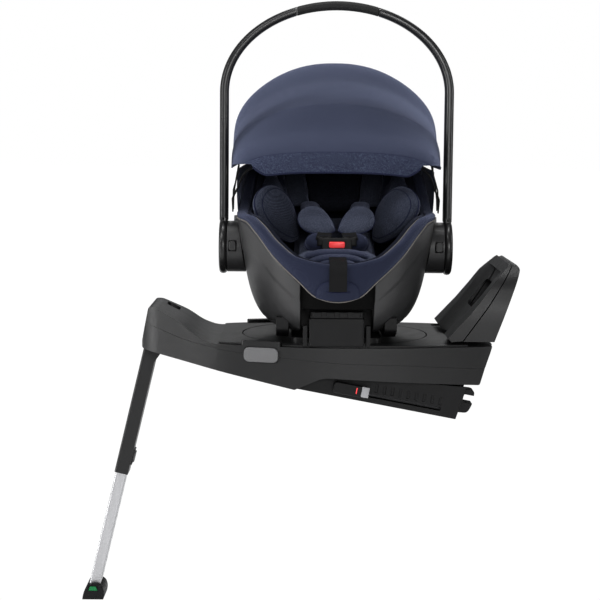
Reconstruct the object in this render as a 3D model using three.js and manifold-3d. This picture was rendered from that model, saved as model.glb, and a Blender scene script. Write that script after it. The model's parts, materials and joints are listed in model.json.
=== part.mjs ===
import * as THREE from "three";
import { mergeVertices } from "three/addons/utils/BufferGeometryUtils.js";
import Module from "manifold-3d";

// Infant car seat on a swivelling base with a support leg. Millimetres, +Z up.
// The origin is where the swivel axis meets the sloping underside of the base.
// +X points to the rebound bar, -X to the support leg and +Y to the head end of the seat.

const wasm = await Module();
wasm.setup();

// Driving dimensions
const DEG = Math.PI / 180;
const GAP = 0.3; // clearance between pieces that touch
const WALL = 3; // moulded wall
const SLOPE = 10.5 * DEG; // underside of the base, falling towards +X
const DECK = 92; // top of the base deck and of the turntable
const TURNTABLE = 170; // radius of the turntable
const WEDGE_HALF = 162; // half width of the connector housing
const CONNECTOR_Y = 140; // half the spacing of the two vehicle anchors
const LEG_LEAN = 13.3 * DEG;
const LEG_PIVOT = { x: -336, z: 76 };
const LEG = { wide: 25.4, deep: 44, long: 255, bore: 21.1, tube: 20.5, tubeDeep: 37 };
const PILL = { x: -131.5, z: 73.5, wide: 63, high: 26, turn: -14.8 * DEG };
const TURNS = 30; // facets round the seat shell
const ROWS = 6; // facets from its rim to its bottom
const BUCKET = { side: 182, foot: 250, head: 350, bottom: 104 }; // outer size of the seat shell
const HANDLE = { y: 10, z: 251, outer: 214, inner: 198, rise: 283, crown: 165, crownInner: 150,
  deep: 30 };
const CANOPY = { y: 40, z: 299, side: 194, hem: 395, cloth: 2 };

const finish = (color, roughness, metalness = 0) =>
  new THREE.MeshStandardMaterial({ color, roughness, metalness });
const FINISH = {
  housing: finish("#2d2d2f", 0.45),
  deck: finish("#3a3a3d", 0.5),
  black: finish("#141416", 0.5),
  grey: finish("#6b6c6e", 0.55),
  panel: finish("#47484b", 0.5),
  navy: finish("#343c59", 0.9),
  knit: finish("#272c3d", 0.95),
  webbing: finish("#1b1b1c", 0.85),
  foam: finish("#d9d9d6", 0.9),
  steel: finish("#a9abad", 0.35, 1),
  aluminium: finish("#cfd0d2", 0.3, 1),
  red: finish("#ef4b4d", 0.4),
  green: finish("#0a7040", 0.5),
};

// ---- Solids ------------------------------------------------------------------------------

const X = new THREE.Vector3(1, 0, 0);
const Y = new THREE.Vector3(0, 1, 0);
const Z = new THREE.Vector3(0, 0, 1);
const LYING = {
  x: new THREE.Matrix4().makeBasis(Y, Z, X), // outline in (y, z)
  y: new THREE.Matrix4().makeBasis(X, Z, Y.clone().negate()), // outline in (x, z)
  z: new THREE.Matrix4(), // outline in (x, y)
};

// A closed geometry as a solid that can be joined and cut.
function solidOf(geometry) {
  const bare = new THREE.BufferGeometry();
  bare.setAttribute("position", geometry.getAttribute("position"));
  bare.setIndex(geometry.index);
  const merged = mergeVertices(bare, 1e-3);
  const index = merged.index.array;
  const kept = [];
  for (let i = 0; i < index.length; i += 3) {
    const [a, b, c] = [index[i], index[i + 1], index[i + 2]];
    if (a !== b && b !== c && c !== a) kept.push(a, b, c);
  }
  const vertProperties = new Float32Array(merged.getAttribute("position").array);
  if (volumeOf(vertProperties, kept) < 0) kept.reverse();
  return new wasm.Manifold(new wasm.Mesh({ numProp: 3, vertProperties,
    triVerts: new Uint32Array(kept) }));
}

function volumeOf(points, triangles) {
  const corner = (i) => new THREE.Vector3().fromArray(points, 3 * i);
  let six = 0;
  for (let i = 0; i < triangles.length; i += 3) {
    const [a, b, c] = [corner(triangles[i]), corner(triangles[i + 1]), corner(triangles[i + 2])];
    six += a.dot(b.cross(c));
  }
  return six / 6;
}

// An outline whose corners are rounded: [across, up] or [across, up, corner radius].
function outline(points, radius = 0) {
  const shape = new THREE.Shape();
  points.forEach((point, i) => {
    const here = new THREE.Vector2(point[0], point[1]);
    const before = new THREE.Vector2(...points.at(i - 1).slice(0, 2)).sub(here);
    const after = new THREE.Vector2(...points[(i + 1) % points.length].slice(0, 2)).sub(here);
    const cut = Math.min(point[2] ?? radius, before.length() / 2.4, after.length() / 2.4);
    const start = here.clone().add(before.setLength(cut));
    if (i === 0) shape.moveTo(start.x, start.y);
    else shape.lineTo(start.x, start.y);
    const end = here.clone().add(after.setLength(cut));
    if (cut > 0) shape.quadraticCurveTo(here.x, here.y, end.x, end.y);
  });
  shape.closePath();
  return shape;
}

// An outline pushed along an axis, with an optional rounded edge.
function prism(axis, shape, from, to, bevel = 0, arcs = 4) {
  const geometry = new THREE.ExtrudeGeometry(shape, {
    depth: to - from - 2 * bevel,
    bevelEnabled: bevel > 0,
    bevelSize: bevel,
    bevelThickness: bevel,
    bevelOffset: -bevel,
    bevelSegments: 2,
    curveSegments: arcs,
  });
  geometry.translate(0, 0, bevel);
  geometry.applyMatrix4(LYING[axis]);
  const start = axis === "y" ? to : from;
  geometry.translate(...["x", "y", "z"].map((name) => (name === axis ? start : 0)));
  return geometry;
}

const slab = (...args) => solidOf(prism(...args));

function boxOutline(a0, a1, b0, b1, radius = 0) {
  return outline([[a0, b0], [a1, b0], [a1, b1], [a0, b1]], radius);
}

function block(x0, x1, y0, y1, z0, z1) {
  return slab("z", boxOutline(x0, x1, y0, y1), z0, z1);
}

function cylinder(axis, center, radius, from, to, sides = 32) {
  const geometry = new THREE.CylinderGeometry(radius, radius, to - from, sides);
  geometry.rotateX(Math.PI / 2);
  geometry.translate(0, 0, (from + to) / 2);
  geometry.translate(center[0], center[1], 0);
  geometry.applyMatrix4(LYING[axis]);
  if (axis === "y") geometry.translate(0, from + to, 0);
  return solidOf(geometry);
}

function turned(points, sides = 64) {
  const geometry = new THREE.LatheGeometry(points.map(([r, z]) => new THREE.Vector2(r, z)), sides);
  geometry.rotateX(Math.PI / 2);
  return solidOf(geometry);
}

// A solid between two surfaces that share the parameters u and v, each from 0 to 1.
function skin(outer, inner, columns, rows, closed = false) {
  const points = [];
  for (const surface of [outer, inner])
    for (let j = 0; j <= rows; j++)
      for (let i = 0; i <= columns; i++) points.push(...surface(i / columns, j / rows).toArray());
  const wide = columns + 1;
  const under = wide * (rows + 1);
  const index = [];
  const quad = (a, b, c, d) => index.push(a, b, c, a, c, d);
  for (let j = 0; j < rows; j++)
    for (let i = 0; i < columns; i++) {
      const a = j * wide + i;
      quad(a, a + 1, a + wide + 1, a + wide);
      quad(under + a, under + a + wide, under + a + wide + 1, under + a + 1);
    }
  for (let i = 0; i < columns; i++) {
    const last = rows * wide + i;
    quad(i, under + i, under + i + 1, i + 1);
    quad(last, last + 1, under + last + 1, under + last);
  }
  for (let j = 0; j < rows && !closed; j++) {
    const a = j * wide;
    const b = a + columns;
    quad(a, a + wide, under + a + wide, under + a);
    quad(b, under + b, under + b + wide, b + wide);
  }
  const geometry = new THREE.BufferGeometry();
  geometry.setAttribute("position", new THREE.BufferAttribute(new Float32Array(points), 3));
  geometry.setIndex(index);
  return solidOf(geometry);
}

// A flat bar along a smooth path.
function bar(path, wide, deep, steps) {
  const section = boxOutline(-wide / 2, wide / 2, -deep / 2, deep / 2);
  return new THREE.ExtrudeGeometry(section,
    { steps, extrudePath: path, bevelEnabled: false, curveSegments: 1 });
}

// ---- The assembly --------------------------------------------------------------------------

const seat = new THREE.Group();

function piece(name, solid, material, parent = seat) {
  let geometry = solid;
  if (!solid.isBufferGeometry) {
    const { vertProperties, triVerts } = solid.getMesh();
    geometry = new THREE.BufferGeometry();
    geometry.setAttribute("position", new THREE.BufferAttribute(vertProperties, 3));
    geometry.setIndex(new THREE.BufferAttribute(triVerts, 1));
  }
  const mesh = new THREE.Mesh(geometry, material);
  mesh.name = name;
  parent.add(mesh);
  return mesh;
}

const SIDES = [["near", -1], ["far", 1]];
const HANDS = [["left", -1], ["right", 1]];

// ---- Base housings ---------------------------------------------------------------------------

const SEAM = [[-365, 125], [-343, 117], [-274, 93], [-210, 80], [-163, 75], [14, 61], [127, 58],
  [290, 48]];
const NEAR_EDGE = [
  [-352, 62], [-330, 84], [-270, 114], [-200, 152], [-62, 186], [0, 190], [120, 184], [220, 165],
    [285, 146],
];

// The outline of the base seen from above, shrunk by an inset.
function planOutline(inset) {
  const near = NEAR_EDGE.map(([x, half]) => [x - Math.sign(x) * inset, inset - half, 40]);
  const far = NEAR_EDGE.map(([x, half]) => [x - Math.sign(x) * inset, half - inset, 40]).reverse();
  near[0][2] = 18;
  far.at(-1)[2] = 18;
  return outline([...near, ...far]);
}

// The outline of the base seen from the side.
const sideOutline = (lift, top) =>
  outline([
    [-354 + lift, 70 + lift, 8], [-196, 39 + lift, 60], [-73, 14 + lift, 1], [-23, 36 + lift, 10],
    [128, 28 + lift, 30], [254 - lift, 21 + lift, 3], [263 - lift, 50], [277 - lift, top, 2],
    [-222, top, 30], [-250, top + 12, 20], [-277, top + 33, 20], [-325, top + 57, 12],
    [-338 + lift, top + 58, 8],
  ]);

const topEdge = DECK - WALL - GAP;
const housing = slab("y", sideOutline(0, topEdge), -200, 200).intersect(
  slab("z", planOutline(0), 0, 200, 0, 3),
);
const hollow = slab("y", sideOutline(WALL, topEdge - 4.7), -200, 200)
  .intersect(slab("z", planOutline(WALL), 0, 200, 0, 2))
  .subtract(block(-400, -284, -200, 200, 0, 200));
const below = slab("y", outline([...SEAM.map(([x, z]) => [x, z - GAP / 2]), [290, 0], [-365, 0]]), -210,
  210);
const above = slab("y", outline([...SEAM.map(([x, z]) => [x, z + GAP / 2]), [290, 210], [-365, 210]]),
  -210, 210);

// A pill-shaped prism standing on the side wall, from a depth inside it to a height outside.
function pillOnWall(side, margin, inside, outside) {
  const half = PILL.wide / 2 + margin;
  const high = PILL.high / 2 + margin;
  const shape = boxOutline(-half, half, -high, high, high);
  const geometry = prism("y", shape, -outside, inside, outside > 5 ? 0 : 1.2, 5);
  geometry.rotateZ(PILL.turn);
  geometry.translate(PILL.x, -167.5, PILL.z);
  if (side > 0) geometry.scale(1, -1, 1);
  return solidOf(geometry);
}

// Room for the leg, which folds up under the base.
const legPocket = slab(
  "y",
  outline([
    [-351, 73], [-350.2, 80], [-346, 88], [-336, 92], [-318, 96], [-307, 88],
    [-300, 78], [-288, 73], [-250, 56], [-215, 42], [-215, 25], [-359, 25],
  ]),
  -25.5,
  25.5,
);
const legPinHole = cylinder("y", [LEG_PIVOT.x, LEG_PIVOT.z], 4 + GAP, -36, 36, 20);
const noseSlot = slab("z", boxOutline(-314, -290, 34, 78, 8), 100, 160);

let lower = housing.intersect(below).subtract(hollow).subtract(legPocket).subtract(legPinHole)
  .subtract(noseSlot);
let upper = housing.intersect(above).subtract(hollow);
upper = upper.add(slab("z", planOutline(6), topEdge - 8, topEdge - 0.01, 0, 2)
  .intersect(block(-240, 300, -200, 200, 0, 200)));
upper = upper.subtract(cylinder("z", [0, 0], TURNTABLE + 2, 60, 200, 48)).subtract(noseSlot);
for (const [, side] of SIDES) {
  const pocket = pillOnWall(side, 1, 12, 12);
  const tab = prism("z", boxOutline(-36, 36, -6, 8, 5), DECK - 12, DECK + 6, 1.5);
  tab.rotateZ(PILL.turn);
  tab.translate(PILL.x, -163, 0);
  if (side > 0) tab.scale(1, -1, 1);
  upper = upper.add(solidOf(tab)).subtract(pocket);
  lower = lower.subtract(pocket);
  piece(`swivel_button_${side < 0 ? "near" : "far"}`, pillOnWall(side, 0, 7, 4.5), FINISH.grey);
}
piece("lower_housing", lower, FINISH.housing);
piece("upper_housing", upper, FINISH.housing);

// The nose release rocks in a slot on top of the nose.
piece("nose_release", slab("z", boxOutline(-312, -292, 36, 76, 6), 103, 121, 1), FINISH.black);

// ---- Deck, turntable and what carries them -----------------------------------------------------

const deckRim = slab("z", planOutline(7), DECK - WALL, DECK, 0, 2)
  .intersect(block(-208, 232, -200, 200, 0, 200));
let deckCover = deckRim.subtract(cylinder("z", [0, 0], TURNTABLE + 1.5, 0, 200, 48));
deckCover = deckCover.subtract(slab("x", boxOutline(-152, 152, 0, 200), 190, 300));
for (const side of [-1, 1]) {
  const room = prism("z", boxOutline(-37, 37, -7, 9, 5), 60, 120);
  room.rotateZ(PILL.turn);
  room.translate(PILL.x, -163, 0);
  if (side > 0) room.scale(1, -1, 1);
  deckCover = deckCover.subtract(solidOf(room));
}
piece("deck_cover", deckCover, FINISH.deck);

// The turntable is dished, with a raised dock in the middle that carries the seat shell.
const dish = turned([
  [0, 80], [TURNTABLE, 80], [TURNTABLE, DECK - 1], [TURNTABLE - 1, DECK], [TURNTABLE - 10, DECK],
  [TURNTABLE - 34, DECK - 4], [0, DECK - 4],
], 48);
const dock = slab("z", boxOutline(-80, 80, -150, 140, 24), DECK - 6, 102.5, 1.5);
piece("turntable", dish.add(dock), FINISH.black);
piece("swivel_bearing", turned([[110, 60], [138, 60], [138, 79.7], [110, 79.7], [110, 60]], 36),
  FINISH.steel);
piece("deck_plate", slab("z", boxOutline(-170, 215, -60, 60, 12), 52, 59.7), FINISH.steel);

const latchFront = -190;
const latchBlock = slab("z", boxOutline(-48, 48, latchFront, latchFront + 24, 4), DECK + GAP, 141, 1.5);
const latchPosts = [-59, 50.5].map((x) =>
  slab("z", boxOutline(x, x + 8.5, latchFront + 2, latchFront + 20, 2), DECK + GAP, 128));
const latchSill = block(-58, 58, latchFront + 6, latchFront + 16, DECK + GAP, DECK + 6);
piece("latch_block", latchBlock.add(latchPosts[0]).add(latchPosts[1]).add(latchSill), FINISH.black);
const leverRibs = [];
for (let i = 0; i < 4; i++) leverRibs.push(block(-41 + 22.5 * i, -27 + 22.5 * i, latchFront - 2,
  latchFront + 1, 143.5, 151.5));
let lever = slab("z", boxOutline(-46, 46, latchFront, latchFront + 18, 3), 141.6, 153, 1);
for (const rib of leverRibs) lever = lever.add(rib);
piece("latch_lever", lever, FINISH.black);

// ---- Connector housing with the sliding vehicle connectors --------------------------------------

// Solids built on the sloping underside: along is down the slope, up is square to it.
const slope = new THREE.Group();
slope.rotation.y = SLOPE;
seat.add(slope);

const onSlope = (along, up) => [
  along * Math.cos(SLOPE) + up * Math.sin(SLOPE),
  up * Math.cos(SLOPE) - along * Math.sin(SLOPE),
];
const wedgeOutline = (inset, top) =>
  outline([
    [-73 + 6 * inset, 13.53 + 0.8 * inset], onSlope(215.4 - inset, inset), [231 - inset, 18.3 + top],
    [128, 26.8 + top], [-23, 34.8 + top],
  ]);
let wedge = slab("y", wedgeOutline(0, 0), -WEDGE_HALF, WEDGE_HALF);
wedge = wedge.subtract(slab("y", wedgeOutline(WALL, 20), WALL - WEDGE_HALF, WEDGE_HALF - WALL));
const KNOB = { from: -8, to: 55, low: 7, high: 28 };
const TRAVEL = 130;
const NOTCH = { first: 66, pitch: 14.3, wide: 4.5, low: 20, high: 34, deep: 1.2, count: 9 };
const tilt = new THREE.Matrix4().makeRotationY(SLOPE);
const sloped = (geometry) => solidOf(geometry.applyMatrix4(tilt));
for (const [, side] of SIDES) {
  const outer = side * WEDGE_HALF;
  const span = (a, b) => [Math.min(outer - side * a, outer - side * b),
    Math.max(outer - side * a, outer - side * b)];
  const slot = prism("y", boxOutline(KNOB.to - 16, KNOB.to + TRAVEL + 1, 9.5, 16.5, 3.4),
    ...span(-2, WALL + 2));
  wedge = wedge.subtract(sloped(slot));
  for (let i = 0; i < NOTCH.count; i++) {
    const start = NOTCH.first + i * NOTCH.pitch;
    const notch = prism("y", boxOutline(start, start + NOTCH.wide, NOTCH.low, NOTCH.high),
      ...span(-2, NOTCH.deep));
    wedge = wedge.subtract(sloped(notch));
  }
  const mouth = side * CONNECTOR_Y;
  wedge = wedge.subtract(sloped(prism("y", boxOutline(205, 250, 9, 90), mouth - 19, mouth + 19)));
}
piece("connector_housing", wedge, FINISH.black);

// One frame slides out of the housing and carries both connectors and both knobs.
const arm = (side) => prism("y", boxOutline(30, 206, 10, 20),
  ...[side * CONNECTOR_Y - 12, side * CONNECTOR_Y + 12]);
let frame = solidOf(prism("y", boxOutline(30, 56, 10, 16), 4 - WEDGE_HALF, WEDGE_HALF - 4));
for (const [, side] of SIDES) {
  frame = frame.add(solidOf(arm(side)));
  const reach = [side * (WEDGE_HALF - 5), side * (WEDGE_HALF + GAP)].sort((a, b) => a - b);
  frame = frame.add(solidOf(prism("y", boxOutline(42, 54, 10, 16), ...reach)));
}
piece("connector_frame", frame, FINISH.steel, slope);
for (const [name, side] of SIDES) {
  const face = [side * (WEDGE_HALF + 2 * GAP), side * (WEDGE_HALF + 11)].sort((a, b) => a - b);
  const knob = solidOf(prism("y", boxOutline(KNOB.from, KNOB.to, KNOB.low, KNOB.high, 7), ...face, 2.5));
  piece(`slider_knob_${name}`, knob, FINISH.grey, slope);
  const mid = side * CONNECTOR_Y;
  const body = solidOf(prism("y",
    outline([[206.3, 11, 3], [234, 14, 6], [240, 30, 8], [240, 56, 8], [206.3, 54, 3]]), mid - 16,
    mid + 16));
  const jaw = solidOf(prism("y", boxOutline(222, 250, 32, 46, 3), mid - 20, mid + 20));
  const room = solidOf(prism("y", boxOutline(208.5, 230, 20, 48), mid - 4, mid + 4));
  piece(`connector_${name}`, body.subtract(jaw).subtract(room), FINISH.black, slope);
  const hook = outline([[210, 22], [220, 22], [221.5, 28], [221.5, 46], [216, 47], [210, 40]], 1.5);
  piece(`connector_hook_${name}`, prism("y", hook, mid - 3, mid + 3), FINISH.steel, slope);
}

// ---- Rebound bar ------------------------------------------------------------------------------

const REBOUND_TOP = [310, 233];
const reboundFace = [[197, 103], [238, 147], [262, 177], [281, 203], [299, 221, 12]];
const reboundView = slab(
  "x",
  outline([[-150, 80], [150, 80], [148, 150, 20], [134, 205, 40], [100, 234, 40], [-100, 234, 40],
    [-134, 205, 40], [-148, 150, 20]]),
  150,
  350,
);
const SEAM_LINE = [[223, 98], [268, 160], [312, 228]];
let reboundFront = slab("y", outline([...reboundFace, [REBOUND_TOP[0], REBOUND_TOP[1], 4], SEAM_LINE[2],
  SEAM_LINE[1], SEAM_LINE[0], [203, 96]]), -150, 150);
reboundFront = reboundFront.intersect(reboundView);
const scoop = turned([[0, 90], [207, 90], [213, 103], [256, 147], [280, 177], [299, 203], [310, 217],
  [0, 217]], 72);
reboundFront = reboundFront.subtract(scoop);
let reboundBack = slab("y", outline([[224.5, DECK + 5], [269.5, 159], [313.5, 228], [320, 232, 4],
  [327, 224, 6], [322, 210], [279.3, DECK + 5]]), -150, 150);
reboundBack = reboundBack.intersect(reboundView);
const faceTurn = 52.5 * DEG; // lean of the middle of the seat-side face
const upFace = new THREE.Vector3(Math.cos(faceTurn), 0, Math.sin(faceTurn));
const onFace = new THREE.Matrix4().makeBasis(upFace, Y, upFace.clone().cross(Y)).setPosition(264, 0, 172);
const handSlot = solidOf(prism("z", boxOutline(-30, 30, -53, 53, 14), -26, 60).applyMatrix4(onFace));
reboundFront = reboundFront.subtract(handSlot);
reboundBack = reboundBack.subtract(handSlot);
piece("rebound_front", reboundFront, FINISH.housing);
piece("rebound_back", reboundBack, FINISH.housing);

// ---- Support leg --------------------------------------------------------------------------------

const legFrame = new THREE.Group();
legFrame.position.set(LEG_PIVOT.x, 0, LEG_PIVOT.z);
legFrame.rotation.y = LEG_LEAN;
seat.add(legFrame);

const half = LEG.wide / 2;
const head = new THREE.Shape();
head.absarc(0, 0, half, 0, Math.PI, false);
head.lineTo(-half, -LEG.long);
head.lineTo(half, -LEG.long);
head.lineTo(half, -36);
head.lineTo(half + 9, -14);
head.closePath();
let legOuter = slab("y", head, -LEG.deep / 2, LEG.deep / 2, 0, 8);
legOuter = legOuter.intersect(slab("z", boxOutline(-half, half + 9, -LEG.deep / 2, LEG.deep / 2, 5),
  -LEG.long, half));
legOuter = legOuter.subtract(block(-LEG.bore / 2, LEG.bore / 2, -18.9, 18.9, -LEG.long - 1, -40));
legOuter = legOuter.subtract(cylinder("y", [0, 0], 4 + GAP, -30, 30, 20));
const buttonAt = 33 - LEG.long;
legOuter = legOuter.add(block(half - 1, half + 2.6, -12, 12, buttonAt - 15, buttonAt + 15));
legOuter = legOuter.subtract(block(half - 3, half + 3, -8.3, 8.3, buttonAt - 11, buttonAt + 11));
piece("leg_outer", legOuter, FINISH.housing, legFrame);
const legButton = slab("x", boxOutline(-8, 8, buttonAt - 10.7, buttonAt + 10.7, 4), half + GAP,
  half + 5, 1);
piece("leg_button", legButton, FINISH.grey, legFrame);

const tubeTop = -LEG.long + 60;
const tubeEnd = -486;
const ring = slab("z", boxOutline(-LEG.tube / 2, LEG.tube / 2, -LEG.tubeDeep / 2, LEG.tubeDeep / 2, 4),
  tubeEnd, tubeTop);
let legInner = ring.subtract(slab("z",
  boxOutline(2 - LEG.tube / 2, LEG.tube / 2 - 2, 2 - LEG.tubeDeep / 2, LEG.tubeDeep / 2 - 2, 3),
  tubeEnd - 1, tubeTop + 1));
for (let i = 0; i < 9; i++) {
  const z = tubeEnd + 34 + 22 * i;
  legInner = legInner.subtract(block(0, 20, -4, 4, z, z + 9));
}
piece("leg_inner", legInner, FINISH.aluminium, legFrame);
piece("leg_pin", cylinder("y", [LEG_PIVOT.x, LEG_PIVOT.z], 4, -35, 35, 20), FINISH.steel);

// The foot stands level on the vehicle floor.
const footAt = { x: -447.5, z: -411 };
const foot = new THREE.Shape();
foot.moveTo(footAt.x - 19.5, footAt.z);
foot.lineTo(footAt.x + 19.5, footAt.z);
foot.quadraticCurveTo(footAt.x + 24, footAt.z + 12, footAt.x + 19, footAt.z + 22);
foot.quadraticCurveTo(footAt.x + 14, footAt.z + 30, footAt.x + 2, footAt.z + 30);
foot.lineTo(footAt.x - 10, footAt.z + 27);
foot.quadraticCurveTo(footAt.x - 18, footAt.z + 16, footAt.x - 19.5, footAt.z);
const tubeRoom = prism("z", boxOutline(-LEG.tube / 2 - GAP, LEG.tube / 2 + GAP, -18.8, 18.8, 4),
  tubeEnd - 0.5, tubeTop);
const intoLeg = new THREE.Matrix4().makeRotationY(LEG_LEAN).setPosition(LEG_PIVOT.x, 0, LEG_PIVOT.z);
let footBody = slab("y", foot, -32, 32, 3, 6).subtract(solidOf(tubeRoom.applyMatrix4(intoLeg)));
footBody = footBody.subtract(block(footAt.x - 8, footAt.x + 10, -33, -28.6, footAt.z + 17,
  footAt.z + 40));
piece("leg_foot", footBody, FINISH.black);
const flag = outline([[footAt.x - 7.6, footAt.z + 17.4], [footAt.x + 9.6, footAt.z + 17.4],
  [footAt.x + 6, footAt.z + 25], [footAt.x - 5, footAt.z + 25]]);
piece("foot_indicator", slab("y", flag, -31.5, -28.9), FINISH.green);

// ---- Seat shell ---------------------------------------------------------------------------------

// Heights round the seat against the turn from the foot end, in degrees.
const RIM = [[0, 240], [20, 250], [35, 275], [50, 305], [62, 316], [92, 318], [116, 398], [145, 450],
  [180, 472]];
const COVER_EDGE = [[0, 172], [10, 180], [20, 208], [35, 246], [50, 286], [62, 304], [98, 308],
  [120, 340], [150, 392], [180, 412]];

function heightAt(table, turn) {
  const degrees = Math.abs(Math.atan2(Math.sin(turn), Math.cos(turn))) / DEG;
  const next = table.findIndex(([at]) => at >= degrees);
  if (next < 1) return next === 0 ? table[0][1] : table.at(-1)[1];
  const [[a, low], [b, high]] = [table[next - 1], table[next]];
  return low + (high - low) * THREE.MathUtils.smoothstep(degrees, a,
    b) * 0.4 + (high - low) * ((degrees - a) / (b - a)) * 0.6;
}

// A point on the bucket, at a turn from the foot end and at a height, moved in by an inset.
function bucket(turn, height, inset, bottom = BUCKET.bottom) {
  const sine = Math.sin(turn);
  const cosine = Math.cos(turn);
  const toHead = THREE.MathUtils.smoothstep(-cosine, -0.2, 1);
  const rim = heightAt(RIM, turn);
  const depth = THREE.MathUtils.clamp((rim - height) / (rim - bottom), 0, 1);
  const power = 5 - 3 * toHead;
  const shut = depth > 0.99999 ? 0 : (1 - depth ** power) ** (1 / power);
  const close = shut * (1 - (0.17 - 0.02 * toHead) * depth);
  const across = Math.sign(sine) * Math.abs(sine) ** 0.87 * (BUCKET.side - inset);
  const along = -Math.sign(cosine) * Math.abs(cosine) ** 0.87
    * ((cosine > 0 ? BUCKET.foot : BUCKET.head) - inset);
  return new THREE.Vector3(across * close, along * close, height);
}

// One layer of the bucket between two insets, from a top edge down to a closed bottom.
function layer(edge, outside, inside, bottomOut, bottomIn, columns = TURNS, rows = ROWS) {
  const surface = (inset, bottom) => (u, v) => {
    const turn = (u - 0.5) * 2 * Math.PI;
    const top = edge(turn);
    const fall = 1 - (1 - v) ** 2.4;
    return bucket(turn, top + (bottom - top) * fall, inset, bottom);
  };
  return skin(surface(outside, bottomOut), surface(inside, bottomIn), columns, rows, true);
}

const coverEdge = (turn) => heightAt(COVER_EDGE, turn);
const rimEdge = (turn) => heightAt(RIM, turn);
const SHELL_OUT = 3 + GAP;
const SHELL_IN = 7;
const FOAM_IN = 20;
const recess = block(-62, 62, -300, -150, 80, 160);
// The space inside the bucket at an inset, as a full solid.
function bucketSolid(edge, inset, bottom, lid = 300) {
  const surface = (u, v) => {
    const turn = (u - 0.5) * 2 * Math.PI;
    const top = edge(turn);
    return bucket(turn, top + (bottom - top) * (1 - (1 - v) ** 2.4), inset, bottom);
  };
  return skin(surface, () => new THREE.Vector3(0, 20, lid), TURNS, ROWS, true);
}
piece("seat_shell", layer(coverEdge, SHELL_OUT, SHELL_IN, 104, 109).subtract(recess), FINISH.black);
const foam = bucketSolid(coverEdge, SHELL_IN + GAP, 109.3, 165)
  .subtract(bucketSolid(rimEdge, FOAM_IN, 150));
piece("foam_liner", foam.subtract(recess), FINISH.foam);
piece("seat_lining", layer(rimEdge, FOAM_IN + GAP, FOAM_IN + 8, 150.4, 160), FINISH.navy);

// The cover folds over the whole rim, deepest at the foot end.
const rimBand = (inset) => (u, v) => {
  const turn = (u - 0.5) * 2 * Math.PI;
  const low = coverEdge(turn) + 1;
  return bucket(turn, low + (rimEdge(turn) - low) * v, inset);
};
piece("rim_cover", skin(rimBand(0), rimBand(FOAM_IN - GAP), TURNS, 2, true), FINISH.navy);

// Moulded side panels clip over the shell and end square at both ends.
for (const [name, side] of HANDS) {
  const surface = (inset) => (u, v) => {
    const turn = (side < 0 ? 156 * u - 168 : 156 * u + 12) * DEG;
    const top = coverEdge(turn);
    return bucket(turn, top + (BUCKET.bottom - top) * (1 - (1 - (v * (ROWS - 2)) / ROWS) ** 2.4), inset);
  };
  let sidePanel = skin(surface(0), surface(3), 13, ROWS - 2);
  sidePanel = sidePanel.subtract(block(-65, 65, -300, -50, 50, 350))
    .subtract(block(-60, 60, 50, 400, 50, 480));
  piece(`side_panel_${name}`, sidePanel, FINISH.panel);
}

// Two curved runners under the shell.
const clearOfPanels = bucketSolid(coverEdge, -1, BUCKET.bottom - 1);
const runner = outline([[-165, 116, 8], [-120, 100, 30], [0, 95.5, 60], [120, 100, 30], [165, 124, 8],
  [165, 140], [-165, 140]]);
for (const [name, side] of HANDS) {
  const [from, to] = [side * 84, side * 106].sort((a, b) => a - b);
  piece(`runner_${name}`, slab("x", runner, from, to).subtract(clearOfPanels), FINISH.black);
}

// ---- Carrying handle ------------------------------------------------------------------------------

const crown = HANDLE.z + HANDLE.rise;
const GRIP_HALF = 74;

function handleOutline(low) {
  const shape = new THREE.Shape();
  shape.moveTo(HANDLE.outer, low);
  shape.lineTo(HANDLE.outer, crown);
  shape.absellipse(0, crown, HANDLE.outer, HANDLE.crown, 0, Math.PI, false);
  shape.lineTo(-HANDLE.outer, low);
  shape.lineTo(-HANDLE.inner, low);
  shape.lineTo(-HANDLE.inner, crown);
  shape.absellipse(0, crown, HANDLE.inner, HANDLE.crownInner, Math.PI, 0, true);
  shape.lineTo(HANDLE.inner, low);
  shape.closePath();
  return shape;
}
const bow = slab("y", handleOutline(HANDLE.z + 50), HANDLE.y - HANDLE.deep / 2,
  HANDLE.y + HANDLE.deep / 2, 4, 16);
for (const [name, side] of HANDS) {
  const [inside, outside] = [side * (GRIP_HALF + GAP), side * 230];
  let handleArm = bow.intersect(block(Math.min(inside, outside), Math.max(inside, outside), -50, 80,
    200, 750));
  const capSpan = [side * 199.5, side * 214].sort((a, b) => a - b);
  handleArm = handleArm.add(cylinder("x", [HANDLE.y, HANDLE.z], 50, ...capSpan, 40));
  const neckSpan = [side * 199.5, side * 213].sort((a, b) => a - b);
  handleArm = handleArm.add(block(...neckSpan, HANDLE.y - 13, HANDLE.y + 13, HANDLE.z + 30,
    HANDLE.z + 60));
  handleArm = handleArm.subtract(cylinder("x", [HANDLE.y, HANDLE.z], 12 + GAP,
    ...[side * 190, side * 207].sort((a, b) => a - b), 24));
  piece(`handle_arm_${name}`, handleArm, FINISH.housing);

  const hubSpan = [side * 165, side * 199].sort((a, b) => a - b);
  let hub = cylinder("x", [HANDLE.y, HANDLE.z], 47, ...hubSpan, 40).subtract(clearOfPanels);
  hub = hub.add(cylinder("x", [HANDLE.y, HANDLE.z], 12,
    ...[side * 190, side * 206].sort((a, b) => a - b), 24));
  const buttonAt = [HANDLE.y - 44, HANDLE.z + 4];
  hub = hub.subtract(block(...hubSpan, buttonAt[0] - 10, buttonAt[0] + 10, buttonAt[1] - 10,
    buttonAt[1] + 10).intersect(block(...[side * 181, side * 196].sort((a, b) => a - b), -60, 0, 200,
    300)));
  piece(`handle_hub_${name}`, hub, FINISH.housing);
  const buttonSpan = [side * 182, side * 195].sort((a, b) => a - b);
  const button = slab("y", boxOutline(...buttonSpan, buttonAt[1] - 9, buttonAt[1] + 9, 5),
    buttonAt[0] - 7, buttonAt[0] + 5, 1);
  piece(`handle_button_${name}`, button, FINISH.grey);
}
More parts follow.
